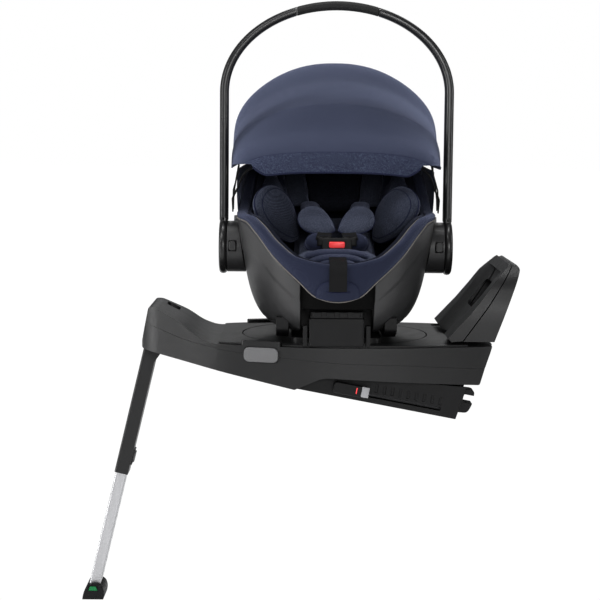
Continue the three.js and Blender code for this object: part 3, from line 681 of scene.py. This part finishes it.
def canopy(place, over, inset):
    """A point on the canopy: place counts bows from the front, over runs from side to side."""
    plane = math.radians(on_table(BOWS, place, 1))
    reach, square, fall = (on_table(BOWS, place, column) for column in (2, 3, 4))
    hem = min((CANOPY_HEM - CANOPY_Z) / math.sin(plane), 0.9 * reach * (1 - fall))
    rise = hem / (reach * (1 - fall))
    start = math.atan2(rise, (1 - rise**square) ** (1 / square))
    turn = start + (math.pi - 2 * start) * over
    scale = (abs(math.cos(turn)) ** square + math.sin(turn) ** square) ** (-1 / square)
    across = math.cos(turn) * scale
    out = math.sin(turn) * scale * (1 - fall * abs(across) ** 2.3) * (reach - inset)
    return Vector(
        (
            -across * (CANOPY_SIDE - inset),
            CANOPY_Y + out * math.cos(plane),
            CANOPY_Z + out * math.sin(plane),
        )
    )


# ---- Base, connectors and support leg ----------------------------------------------------------

for node, finish, edge in (
    ("lower_housing", "housing", 0.0008),
    ("upper_housing", "housing", 0.0008),
    ("deck_cover", "deck", 0.0006),
    ("deck_plate", "steel", 0.0005),
    ("swivel_bearing", "steel", 0.0004),
    ("turntable", "disc", 0.0012),
    ("latch_block", "black", 0.0014),
    ("latch_lever", "black", 0.0008),
    ("connector_housing", "black", 0.0012),
    ("connector_frame", "dark_steel", 0.0005),
    ("connector_near", "black", 0.0008),
    ("connector_far", "black", 0.0008),
    ("connector_hook_near", "steel", 0.0003),
    ("connector_hook_far", "steel", 0.0003),
    ("slider_knob_near", "black", 0.0012),
    ("slider_knob_far", "black", 0.0012),
    ("swivel_button_near", "grey", 0.0012),
    ("swivel_button_far", "grey", 0.0012),
    ("nose_release", "black", 0.001),
    ("rebound_front", "housing", 0.0016),
    ("rebound_back", "housing", 0.0012),
    ("leg_outer", "housing", 0.0012),
    ("leg_button", "grey", 0.0006),
    ("leg_inner", "aluminium", 0.0005),
    ("leg_pin", "steel", 0.0004),
    ("leg_foot", "black", 0.0015),
    ("foot_indicator", "green", 0.0003),
):
    moulding(node, finish, edge)

# The slider knobs carry a red mark and a lighter thumb end.
SLOPE = math.radians(10.5)
for side_name, side in (("near", -1), ("far", 1)):
    low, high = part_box(f"slider_knob_{side_name}")
    face = side * 0.1732
    for part, start, wide, tall, finish in (
        ("mark", 0.036, 0.0022, 0.011, "red"),
        ("thumb", 0.046, 0.013, 0.0185, "light"),
    ):
        bpy.ops.object.select_all(action="DESELECT")
        bpy.ops.mesh.primitive_cube_add(size=1, location=(start + wide / 2, face, 0))
        mark = bpy.context.object
        mark.name = f"slider_{part}_{side_name}"
        mark.scale = (wide, 0.0012, tall)
        settled(mark)
        mark.data.transform(Matrix.Rotation(SLOPE, 4, "Y"))
        mark.data.transform(Matrix.Translation((0, 0, (low.z + high.z) / 2 + 0.0056)))
        finished(mark, "BEVEL", width=0.0005, segments=2)
        smooth(mark)
        dress(mark, finish, "connectors")

# ---- Seat shell and side panels ----------------------------------------------------------------

# The seat shell takes the near-black painted-shade finish.
moulding("seat_shell", "shade_black", 0)
moulding("foam_liner", "foam", 0)
for side_name, side in SIDES:
    moulding(f"runner_{side_name}", "black", 0.0012)
    moulding(f"canopy_hinge_{side_name}", "light", 0.0015)


def turn_at(across, height, low, high):
    """The turn between two turns where the bucket is a given distance across."""
    for _ in range(40):
        middle = (low + high) / 2
        if (abs(bucket(middle, height, 0).x) < across) == (low < high):
            low = middle
        else:
            high = middle
    return (low + high) / 2


def panel_point(side, u, v, inset):
    """The moulded panel ends square at the foot end and towards the head end."""
    drop = 1 - (1 - v * 0.67) ** 2.4
    foot = head = 0.0
    height = 0.2
    for _ in range(3):
        foot = turn_at(0.065, height, 0.0, math.radians(85))
        top = cover_height(foot)
        height = top + (BUCKET_BOTTOM - top) * drop
    height = 0.25
    for _ in range(3):
        head = turn_at(0.062, height, math.pi, math.radians(95))
        top = cover_height(head)
        height = top + (BUCKET_BOTTOM - top) * drop
    turn = foot + (head - foot) * u
    top = cover_height(turn)
    below = (top - 0.0008 - BUCKET_BOTTOM) * drop
    band = 0.030 + 0.022 * math.sin(turn) ** 2
    ease = eased(clamp((below - band) / 0.007))
    return bucket(side * turn, top - 0.0008 - below, inset + 0.0016 * ease)


for side_name, side in SIDES:
    rows = {}

    def on_panel(u, v, side=side, rows=rows):
        key = (round(u, 5), round(v, 5))
        if key not in rows:
            rows[key] = panel_point(side, u, v, 0.0015)
        return rows[key]

    panel = surface(f"side_panel_{side_name}_moulded", 110, 44, on_panel)
    finished(panel, "SOLIDIFY", thickness=0.0028, offset=0)
    merged(panel)
    finished(
        panel, "BEVEL", width=0.0009, segments=2, limit_method="ANGLE",
        angle_limit=math.radians(60),
    )
    smooth(panel, 40)
    dress(panel, "panel", "carrier", [f"side_panel_{side_name}"])

# ---- Carrying handle ---------------------------------------------------------------------------

CROWN = HANDLE_Z + 0.283
HANDLE_OUT, HANDLE_IN = 0.214, 0.198  # half widths over and inside the arms
CROWN_OUT, CROWN_IN = 0.165, 0.150  # rise of the arch over the straight arms
HANDLE_HALF_DEEP = 0.015
GRIP_END = 0.0745
SECTION = (
    (1, -0.5), (1, 0.5), (0.72, 0.82), (0.35, 1), (-0.35, 1), (-0.72, 0.82),
    (-1, 0.5), (-1, -0.5), (-0.72, -0.82), (-0.35, -1), (0.35, -1), (0.72, -0.82),
)


def handle_point(share, out, deep):
    """share runs from the hub to the grip, out from the inner to the outer face."""
    straight = 0.42
    if share < straight:
        height = HANDLE_Z + 0.048 + (CROWN - HANDLE_Z - 0.048) * share / straight
        outer, inner = Vector((HANDLE_OUT, 0, height)), Vector((HANDLE_IN, 0, height))
    else:
        arch = (share - straight) / (1 - straight)
        turn_out = arch * math.acos(GRIP_END / HANDLE_OUT)
        turn_in = arch * math.acos(GRIP_END / HANDLE_IN)
        outer = Vector(
            (HANDLE_OUT * math.cos(turn_out), 0, CROWN + CROWN_OUT * math.sin(turn_out))
        )
        inner = Vector((HANDLE_IN * math.cos(turn_in), 0, CROWN + CROWN_IN * math.sin(turn_in)))
    point = inner.lerp(outer, (out + 1) / 2)
    point.y = HANDLE_Y + HANDLE_HALF_DEEP * deep
    return point


for side_name, side in SIDES:

    def on_arm(u, v, side=side):
        out, deep = SECTION[round(u * len(SECTION)) % len(SECTION)]
        point = handle_point(v, out, deep)
        return Vector((side * point.x, point.y, point.z))

    arm = surface(f"handle_arm_{side_name}_bow", len(SECTION), 90, on_arm, wrap=True)
    capped(arm)
    edit(arm, OUTWARD)
    finished(
        arm, "BEVEL", width=0.0012, segments=2, limit_method="ANGLE",
        angle_limit=math.radians(20),
    )
    # The hub cap: a domed drum with a raised rim and a shallow dished face.
    bpy.ops.object.select_all(action="DESELECT")
    bpy.ops.mesh.primitive_cylinder_add(
        vertices=72, radius=0.050, depth=0.0142,
        location=(side * 0.2066, HANDLE_Y, HANDLE_Z), rotation=(0, math.pi / 2, 0),
    )
    cap = bpy.context.object
    settled(cap)
    outer_faces = [f.index for f in cap.data.polygons if f.normal.x * side > 0.9]
    bpy.ops.object.mode_set(mode="EDIT")
    bpy.ops.mesh.select_all(action="DESELECT")
    bpy.ops.object.mode_set(mode="OBJECT")
    for index in outer_faces:
        cap.data.polygons[index].select = True
    bpy.ops.object.mode_set(mode="EDIT")
    bpy.ops.mesh.inset(thickness=0.007)
    bpy.ops.mesh.inset(thickness=0.0016, depth=-0.0014)
    bpy.ops.mesh.inset(thickness=0.022, depth=0.0006)
    bpy.ops.object.mode_set(mode="OBJECT")
    finished(
        cap, "BEVEL", width=0.006, segments=5, limit_method="ANGLE",
        angle_limit=math.radians(50), use_clamp_overlap=True,
    )
    bpy.ops.object.select_all(action="DESELECT")
    bpy.ops.mesh.primitive_cube_add(size=1, location=(side * 0.2062, HANDLE_Y, HANDLE_Z + 0.044))
    neck = bpy.context.object
    neck.scale = (0.0136, 0.030, 0.026)
    settled(neck)
    finished(neck, "BEVEL", width=0.004, segments=3)
    pick(arm, cap, neck)
    bpy.ops.object.join()
    smooth(arm, 35)
    dress(arm, "handle", "handle", [f"handle_arm_{side_name}"])
    moulding(f"handle_hub_{side_name}", "panel", 0.0025)
    moulding(f"handle_button_{side_name}", "housing", 0.0012)


def on_grip(u, v):
    out, deep = SECTION[round(u * len(SECTION)) % len(SECTION)]
    across = 0.0742 * (2 * v - 1)
    swell = 1 + 0.05 * math.sin(math.pi * v)
    outer = CROWN + CROWN_OUT * math.sqrt(1 - (across / HANDLE_OUT) ** 2)
    inner = CROWN + CROWN_IN * math.sqrt(1 - (across / HANDLE_IN) ** 2)
    middle, half = (outer + inner) / 2, (outer - inner) / 2 * swell
    return Vector((across, HANDLE_Y + HANDLE_HALF_DEEP * deep * swell, middle + half * out))


grip = surface("handle_grip_rubber", len(SECTION), 72, on_grip, wrap=True)
capped(grip)
edit(grip, OUTWARD)
finished(
    grip, "BEVEL", width=0.0014, segments=3, limit_method="ANGLE", angle_limit=math.radians(20)
)
smooth(grip, 50)
dress(grip, "grip", "handle", ["handle_grip"])

# ---- Canopy ------------------------------------------------------------------------------------

VISOR = 0.93  # place of the seam between the visor and the front cloth
HEM = 0.03  # place of the front hem
CLOTH_IN = 0.0012  # the cloth's middle lies this far inside the canopy's outer form
FRONT_TOP, MIDDLE_TOP, REAR_TOP = (canopy(place, 0.5, 0) for place in (0.9, 3, 5))


def sagging(place, over, bows=(0, VISOR, 3, 5, 7), deep=0.0035):
    """How far the cloth hangs in between two bows."""
    for low, high in zip(bows, bows[1:]):
        if low <= place <= high:
            share = (place - low) / (high - low)
            return deep * math.sin(math.pi * share) ** 1.2 * math.sin(math.pi * over) ** 0.4
    return 0.0


def rounded_hem(over):
    """The front hem curves up towards the seam at both of its ends."""
    corner = clamp(1 - min(over, 1 - over) / 0.07)
    return HEM + 0.6 * corner**2.2


def narrowed(place, over):
    """The cloth draws in at its lower front corners."""
    trim = 0.001 + 0.06 * clamp(1 - place / 2.6) ** 1.3
    return trim + (1 - 2 * trim) * over


def cloth(start, end, lift=0.0):
    """A panel from one place to another. The start may be a function of the way over."""

    def place(u, v):
        low = start(u) if callable(start) else start
        at = low + (end - low) * v
        return canopy(at, narrowed(at, u), CLOTH_IN - lift + sagging(at, u))

    return place


def along_bow(place, lift, start=0.0, end=1.0, steps=120):
    """Points over the canopy at a place, which may be a function of the way over."""
    points = []
    for step in range(steps + 1):
        over = start + (end - start) * step / steps
        at = place(over) if callable(place) else place
        points.append(canopy(at, narrowed(at, over), CLOTH_IN - lift))
    return points


front_fold = ("canopy_front", "canopy_middle", FRONT_TOP, MIDDLE_TOP)
middle_fold = ("canopy_middle", "carrier", MIDDLE_TOP, REAR_TOP)
visor = sheet(
    "canopy_visor", 150, 12, cloth(rounded_hem, VISOR - 0.01, 0.0006), 0.0018, "visor",
    "canopy_front",
)
front = sheet(
    "canopy_front_cloth", 150, 36, cloth(VISOR, 2.985), 0.0016, "canopy", front_fold,
    stands_for=["canopy_front"],
)
middle = sheet(
    "canopy_middle_cloth", 150, 30, cloth(3.0, 4.99), 0.0016, "canopy", middle_fold,
    stands_for=["canopy_middle"],
)
rear = sheet(
    "canopy_rear_cloth", 150, 30, cloth(5.0, 7), 0.0016, "canopy", "carrier",
    stands_for=["canopy_rear"],
)
hem = line("canopy_hem", along_bow(rounded_hem, 0.0004), 0.0021, "binding", "canopy_front")
line("canopy_visor_seam", along_bow(VISOR - 0.005, 0.0004), 0.001, "binding", "canopy_front")
line("canopy_ridge_seam", along_bow(2.992, 0), 0.0011, "canopy", "canopy_middle")
line("canopy_rear_seam", along_bow(5.0, 0), 0.0011, "canopy", "carrier")
rear_hem = line("canopy_rear_hem", along_bow(6.98, 0), 0.0018, "binding", "carrier")
stitches(
    "canopy_hem_stitches",
    along_bow(lambda over: rounded_hem(over) + 0.09, 0.0018, 0.08, 0.92),
    "canopy_front",
)

# A side cloth closes the gap between the canopy and the seat's rim on each side.
SKIRT_START, SKIRT_LONG, SKIRT_IN = 3.1, 3.8, 0.012
sides = []
for side_name, over in (("near", 0.001), ("far", 0.999)):

    def skirt(u, v, over=over):
        top = canopy(SKIRT_START + SKIRT_LONG * u, over, SKIRT_IN)
        foot_y = 0.050 + (top.y - 0.050) * 0.9
        foot = Vector((top.x * (0.985 - 0.02 * u), foot_y, 0.299 + 0.03 * u))
        belly = 0.002 * math.sin(math.pi * v) * (1 if top.x > 0 else -1)
        return top.lerp(foot, v) + Vector((belly, 0, 0))

    sides.append(
        sheet(f"canopy_side_{side_name}", 24, 14, skirt, 0.0016, "cover", "carrier")
    )
for piece, flat, area, bow, edges in (
    (visor, (0.374, 0.037), 0.0114, "front", [hem]),
    (front, (0.511, 0.127), 0.0495, "front", []),
    (middle, (0.684, 0.198), 0.0853, "middle", []),
    (rear, (0.685, 0.237), 0.1139, "rear", [rear_hem]),
    (sides[0], (0.238, 0.091), 0.0170, "rear", []),
    (sides[1], (0.238, 0.091), 0.0170, "rear", []),
):
    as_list(edges)
for place in ("front", "middle", "rear"):
    moulding(f"canopy_bow_{place}", "black", 0)

# ---- Cover, lining and piping ------------------------------------------------------------------

COVER_DEEP = 0.0197
FOLD = 0.009


def cover_point(u, v):
    """Round the seat with u and round the cover's section with v, from its outer bottom edge."""
    turn = (u - 0.5) * 2 * math.pi
    low, top = cover_height(turn) + 0.0012, rim_height(turn)
    crown = min(FOLD, (top - low) * 0.45)
    puff = 0.0035 * math.exp(-((degrees_of(turn) / 52) ** 4)) * clamp((top - low) / 0.06)
    around = v * 4
    if around < 1.6:
        share = around / 1.6
        height = low + (top - crown - low) * share
        return bucket(turn, height, 0.0004 - puff * math.sin(math.pi * share))
    if around < 2.4:
        share = (around - 1.6) / 0.8 * math.pi
        inset = COVER_DEEP / 2 * (1 - math.cos(share))
        return bucket(turn, top - crown + crown * math.sin(share), inset)
    if around < 3.7:
        share = (around - 2.4) / 1.3
        return bucket(turn, top - crown + (low - top + crown) * share, COVER_DEEP)
    share = (around - 3.7) / 0.3
    return bucket(turn, low, COVER_DEEP + (0.0004 - COVER_DEEP) * share)


cover = surface("rim_cover_knit", 240, 48, cover_point, wrap=True)
smooth(cover, 60)
dress(cover, "cover", "carrier", ["rim_cover"])


def round_rim(start, end, inset, lift, edge=rim_height, steps=160):
    """Points along an edge of the cover between two turns, in degrees."""
    made = []
    for step in range(steps + 1):
        turn = math.radians(start + (end - start) * step / steps)
        made.append(bucket(turn, edge(turn) + lift, inset))
    return made


outer_edge = round_rim(-178, 178, -0.0006, 0.0016, cover_height, 320)
line("piping_outer", outer_edge, 0.0011, "piping", "carrier")
line("piping_inner", round_rim(-84, 84, 0.0185, -0.0035), 0.001, "piping", "carrier")
for side_name, side in SIDES:
    for row, inset in enumerate((0.0198, 0.0232)):
        stitches(
            f"head_strip_stitches_{side_name}_{row}",
            round_rim(side * 100, side * 150, inset - 0.001, -0.002, steps=80),
            "carrier",
        )
    arc = []
    for step in range(40):
        share = step / 39
        turn = math.radians(side * (78 - 26 * share))
        height = rim_height(turn) - 0.010 - 0.012 * share**2
        arc.append(bucket(turn, height, -0.0009))
    stitches(f"wing_stitches_{side_name}", arc, "carrier", finish="binding")


def lining_point(u, v):
    turn = (u - 0.5) * 2 * math.pi
    top, bottom = rim_height(turn) - 0.002, 0.156
    return bucket(turn, top + (bottom - top) * (1 - (1 - v) ** 2.4), 0.0242, bottom)


lining = sheet(
    "seat_lining_cloth", 150, 44, lining_point, 0.006, "lining", "carrier", wrap=True,
    stands_for=["seat_lining"],
)


def front_point(across, height, lift):
    """A point on the foot end of the cover, lifted off it."""
    side = -1 if across < 0 else 1
    turn = turn_at(abs(across), height, 0.0, math.radians(60)) * side
    top, low = rim_height(turn), cover_height(turn)
    share = clamp((height - low) / max(top - FOLD - low, 0.01))
    puff = 0.0035 * math.sin(math.pi * share) * clamp((top - low) / 0.06)
    return bucket(turn, height, -puff - lift)


def flap_point(u, v):
    """An arched flap: u runs round the arch and v out from its foot."""
    angle = math.pi * u
    across = 0.0365 * v * math.cos(angle)
    height = 0.1762 + 0.036 * v * math.sin(angle) ** 0.8 + 0.0055 * (across / 0.0365) ** 2
    dome = 0.0042 * (1 - v**6) + 0.0008
    return front_point(across, height, dome * 0.8)


flap = sheet("harness_flap", 48, 16, flap_point, 0.0016, "cover", "carrier")
flap_edge = [flap_point(step / 60, 1.0) for step in range(61)]
line("harness_flap_piping", flap_edge, 0.0011, "binding", "carrier")
slot_lip = [
    front_point(-0.019 + 0.038 * step / 24, 0.1925 - 0.001 * math.sin(math.pi * step / 24), 0.0052)
    for step in range(25)
]
line("harness_flap_slot", slot_lip, 0.0013, "binding", "carrier")

# ---- Pads inside the seat ----------------------------------------------------------------------


def bisected(piece, point, normal):
    """Keeps the part of a closed form behind a plane, and closes the cut."""
    cut = {"plane_co": point, "plane_no": normal, "use_fill": True, "clear_outer": True}
    edit(piece, (bpy.ops.mesh.bisect, cut))
    return piece


def pad_form(name, points, widths, thicks, columns=40, rows=44, lean=0.0, tip=0.3):
    """A closed pad along a curve, with its own width and thickness at each share of the way."""
    across_axis = Vector((math.cos(lean), 0, math.sin(lean)))

    def place(u, v):
        share = clamp(v, 0.002, 0.998)
        at = on_line(points, share)
        ahead = on_line(points, min(share + 0.02, 1)) - on_line(points, max(share - 0.02, 0))
        up = across_axis.cross(ahead).normalized()
        if up.z < 0 and abs(up.z) > 0.2:
            up = -up
        end = (1 - abs(2 * share - 1) ** 6) ** tip
        wide = on_table(widths, share) * end
        thick = on_table(thicks, share) * end
        angle = 2 * math.pi * u
        side, rise = math.cos(angle), math.sin(angle)
        side = math.copysign(abs(side) ** 0.7, side)
        rise = math.copysign(abs(rise) ** 0.85, rise)
        return at + across_axis * (side * wide / 2) + up * (rise * thick / 2)

    piece = surface(name, columns, rows, place, wrap=True)
    capped(piece)
    merged(piece)
    return piece


def leaf_pad(name, outline, depth, thick, finish, body, stands_for=(), crown=0.5):
    """A crowned pad seen from the front as a leaf. depth(x, z) gives the y of its middle layer."""
    ring = curve_through([*outline, outline[0]], 10)[:-1]
    middle = sum(ring, Vector((0, 0, 0))) / len(ring)
    eye = 0.002
    slope = Vector(
        (
            (depth(middle.x + eye, middle.z) - depth(middle.x - eye, middle.z)) / (2 * eye),
            -1,
            (depth(middle.x, middle.z + eye) - depth(middle.x, middle.z - eye)) / (2 * eye),
        )
    ).normalized()

    def place(u, v):
        edge = ring[round(u * len(ring)) % len(ring)]
        out = clamp(2 * v if v < 0.5 else 2 - 2 * v, 0.0, 1.0)
        out = math.sin(out * math.pi / 2)
        point = middle.lerp(edge, out)
        point.y = depth(point.x, point.z)
        swell = (1 - out**3.2) ** crown
        return point + slope * (swell * thick / 2 * (1 if v < 0.5 else -1))

    piece = surface(name, len(ring), 36, place, wrap=True)
    smooth(piece, 80)
    dress(piece, finish, body, stands_for)
    seam = [Vector((at.x, depth(at.x, at.z), at.z)) for at in ring]
    line(f"{name}_piping", seam, 0.0012, "binding", body, closed=True)
    inner = [middle.lerp(at, 0.86) for at in ring]
    inner = [
        Vector((at.x, depth(at.x, at.z), at.z)) + slope * ((1 - 0.86**3.2) ** crown * thick / 2)
        for at in inner
    ]
    return piece, inner


# Headrest: a dark mesh middle, its holes painted darker still as painted shade, between two slanted
# bands, and an ear-shaped wing at each side.
head_middle = copy_of("headrest", "headrest_middle")
bisected(head_middle, (0.050, 0, 0.340), (1, 0, -0.16))
bisected(head_middle, (-0.050, 0, 0.340), (-1, 0, -0.16))
head_middle = stuffed(head_middle, 0.002, voxel=0.005)
dress(head_middle, "mesh", "headrest", ["headrest"])
for side_name, side in SIDES:
    band = copy_of("headrest", f"headrest_band_{side_name}")
    bisected(band, (side * 0.0515, 0, 0.340), (-side, 0, 0.16))
    bisected(band, (side * 0.092, 0, 0.340), (side, 0, -0.10))
    bisected(band, (0, 0, 0.318), (0, 0, -1))
    band = stuffed(band, 0.006, voxel=0.005)
    dress(band, "heather", "headrest")
    wing_back = copy_of("headrest", f"headrest_wing_back_{side_name}")
    bisected(wing_back, (side * 0.092, 0, 0.320), (-side, 0, 0.10))
    bisected(wing_back, (0, -0.010, 0.320), (0, -1, 0))
    wing_back = stuffed(wing_back, 0.003, voxel=0.005)
    dress(wing_back, "cover", "headrest")

    def wing_depth(x, z):
        return -0.072 + 0.112 * (0.151 - abs(x)) / 0.075 + 0.35 * (z - 0.31)

    ear = [
        Vector((side * x, 0, z))
        for x, z in (
            (0.072, 0.262), (0.074, 0.285), (0.078, 0.310), (0.086, 0.332), (0.100, 0.352),
            (0.118, 0.364), (0.136, 0.360), (0.147, 0.344), (0.147, 0.326), (0.138, 0.305),
            (0.122, 0.284), (0.102, 0.268), (0.084, 0.259),
        )
    ]
    wing, rim = leaf_pad(
        f"headrest_wing_{side_name}", ear, wing_depth, 0.034, "heather", "headrest"
    )
    line(f"headrest_wing_seam_{side_name}", rim, 0.0008, "binding", "headrest", closed=True)

# Seat insert, with three soft rolls at its front edge.
insert = stuffed(copy_of("seat_insert", "seat_insert_pad"), 0.006, voxel=0.005)
dress(insert, "heather", "carrier", ["seat_insert"])
for number, (y, z, half, thick) in enumerate(
    ((-0.140, 0.249, 0.066, 0.016), (-0.163, 0.242, 0.056, 0.016), (-0.186, 0.234, 0.044, 0.017))
):
    roll = curve_through(
        ((-half, y + 0.016, z - 0.009), (-half * 0.5, y + 0.003, z), (0, y, z + 0.002),
         (half * 0.5, y + 0.003, z), (half, y + 0.016, z - 0.009)),
        12,
    )

    def on_roll(u, v, roll=roll, thick=thick):
        share = clamp(v, 0.002, 0.998)
        end = (1 - abs(2 * share - 1) ** 5) ** 0.4
        angle = 2 * math.pi * u
        return on_line(roll, share) + Vector(
            (0, 0.026 * math.cos(angle) * end, thick / 2 * math.sin(angle) * end)
        )

    piece = surface(f"insert_roll_{number}", 32, 48, on_roll, wrap=True)
    capped(piece)
    merged(piece)
    smooth(piece, 80)
    dress(piece, "cover", "carrier")

# Crotch pad: a middle pad with a rounded lobe on each side of the buckle.
crotch = stuffed(copy_of("crotch_pad", "crotch_pad_soft"), 0.004, voxel=0.004)
dress(crotch, "cover", "carrier", ["crotch_pad"])
for side_name, side in SIDES:
    lobe = [
        Vector((side * x, 0, z))
        for x, z in (
            (0.012, 0.2560), (0.030, 0.2515), (0.048, 0.2540), (0.056, 0.2620), (0.054, 0.2710),
            (0.043, 0.2770), (0.026, 0.2780), (0.013, 0.2700),
        )
    ]
    hip, rim = leaf_pad(
        f"hip_lobe_{side_name}", lobe, lambda x, z: -0.103 + (z - 0.265) * 0.9, 0.034,
        "cover", "carrier",
    )
    line(f"hip_lobe_seam_{side_name}", rim, 0.0007, "binding", "carrier", closed=True)

# ---- Harness -----------------------------------------------------------------------------------

for side_name, side in SIDES:

    def chest_depth(x, z):
        return -0.098 + (z - 0.286) * 1.7 + 0.10 * abs(abs(x) - 0.03)

    leaf = [
        Vector((side * (1.1 * x - 0.004), 0, z))
        for x, z in (
            (0.006, 0.2875), (0.020, 0.2825), (0.042, 0.2835), (0.060, 0.2920), (0.0665, 0.3060),
            (0.062, 0.3190), (0.048, 0.3260), (0.030, 0.3240), (0.018, 0.3130), (0.010, 0.3000),
        )
    ]
    pad, rim = leaf_pad(
        f"shoulder_pad_{side_name}_soft", leaf, chest_depth, 0.020, "heather", "carrier",
        [f"shoulder_pad_{side_name}"],
    )
    tail = curve_through(
        (
            (side * 0.038, -0.050, 0.302), (side * 0.042, 0.000, 0.308),
            (side * 0.046, 0.050, 0.318), (side * 0.049, 0.086, 0.328),
        ),
        12,
    )
    widths = ((0, 0.044), (1, 0.036))
    under = pad_form(f"shoulder_pad_{side_name}_tail", tail, widths, ((0, 0.018), (1, 0.014)))
    smooth(under, 80)
    dress(under, "heather", "carrier")
    strap = curve_through(
        (
            (side * 0.0255, -0.1190, 0.2725), (side * 0.0235, -0.1155, 0.2785),
            (side * 0.0215, -0.106, 0.2835), (side * 0.022, -0.084, 0.2868),
            (side * 0.030, -0.010, 0.2925), (side * 0.046, 0.090, 0.3165),
            (side * 0.050, 0.122, 0.3265),
        ),
        14,
    )
    ribbon(
        f"shoulder_strap_{side_name}_web", strap, 0.025, 0.0017, "webbing", "carrier",
        [f"shoulder_strap_{side_name}"], lean=side * 0.12, rows=90,
    )
    # The buckle tongue: a plate with a folded loop of webbing stitched over it.
    bpy.ops.object.select_all(action="DESELECT")
    bpy.ops.mesh.primitive_cube_add(size=1, location=(side * 0.0225, -0.1235, 0.2695))
    tongue = bpy.context.object
    tongue.name = f"buckle_tongue_{side_name}"
    tongue.scale = (0.025, 0.005, 0.014)
    settled(tongue)
    edit(tongue, (bpy.ops.mesh.subdivide, {"number_cuts": 3}))
    for vertex in tongue.data.vertices:
        if vertex.co.z > 0.27:
            vertex.co.z += 0.003 * abs(vertex.co.x - side * 0.0225) / 0.0125
        vertex.co.y -= 0.001 * (1 - abs(vertex.co.x - side * 0.0225) / 0.0125)
    finished(tongue, "BEVEL", width=0.0012, segments=2, limit_method="ANGLE")
    smooth(tongue, 50)
    dress(tongue, "black", "carrier")
    rows = [Vector((side * (0.012 + 0.019 * step / 20), -0.1188, 0.2805)) for step in range(21)]
    stitches(f"tongue_stitches_{side_name}", rows, "carrier", 0.002, 0.001, finish="binding")

moulding("buckle", "black", 0.0016)
button = copy_of("buckle_button", "buckle_button_crowned")
edit(button, (bpy.ops.mesh.subdivide, {"number_cuts": 4}))
for vertex in button.data.vertices:
    if vertex.co.y < -0.1305:
        off = (vertex.co.x / 0.015) ** 2 + ((vertex.co.z - 0.265) / 0.007) ** 2
        vertex.co.y -= 0.0012 * clamp(1 - off * 0.5)
finished(button, "BEVEL", width=0.0012, segments=3, limit_method="ANGLE", angle_limit=0.8)
smooth(button, 50)
dress(button, "red", "buckle_button", ["buckle_button"])

adjuster = curve_through(
    (
        (0, -0.178, 0.2475), (0, -0.215, 0.2455), (0, -0.236, 0.2445), (0, -0.249, 0.2415),
        (0, -0.2555, 0.233), (0, -0.2565, 0.222), (0, -0.2515, 0.206), (0, -0.2475, 0.194),
    ),
    12,
)
ribbon(
    "adjuster_strap_web", adjuster, 0.030, 0.0018, "webbing", "carrier", ["adjuster_strap"], rows=80
)
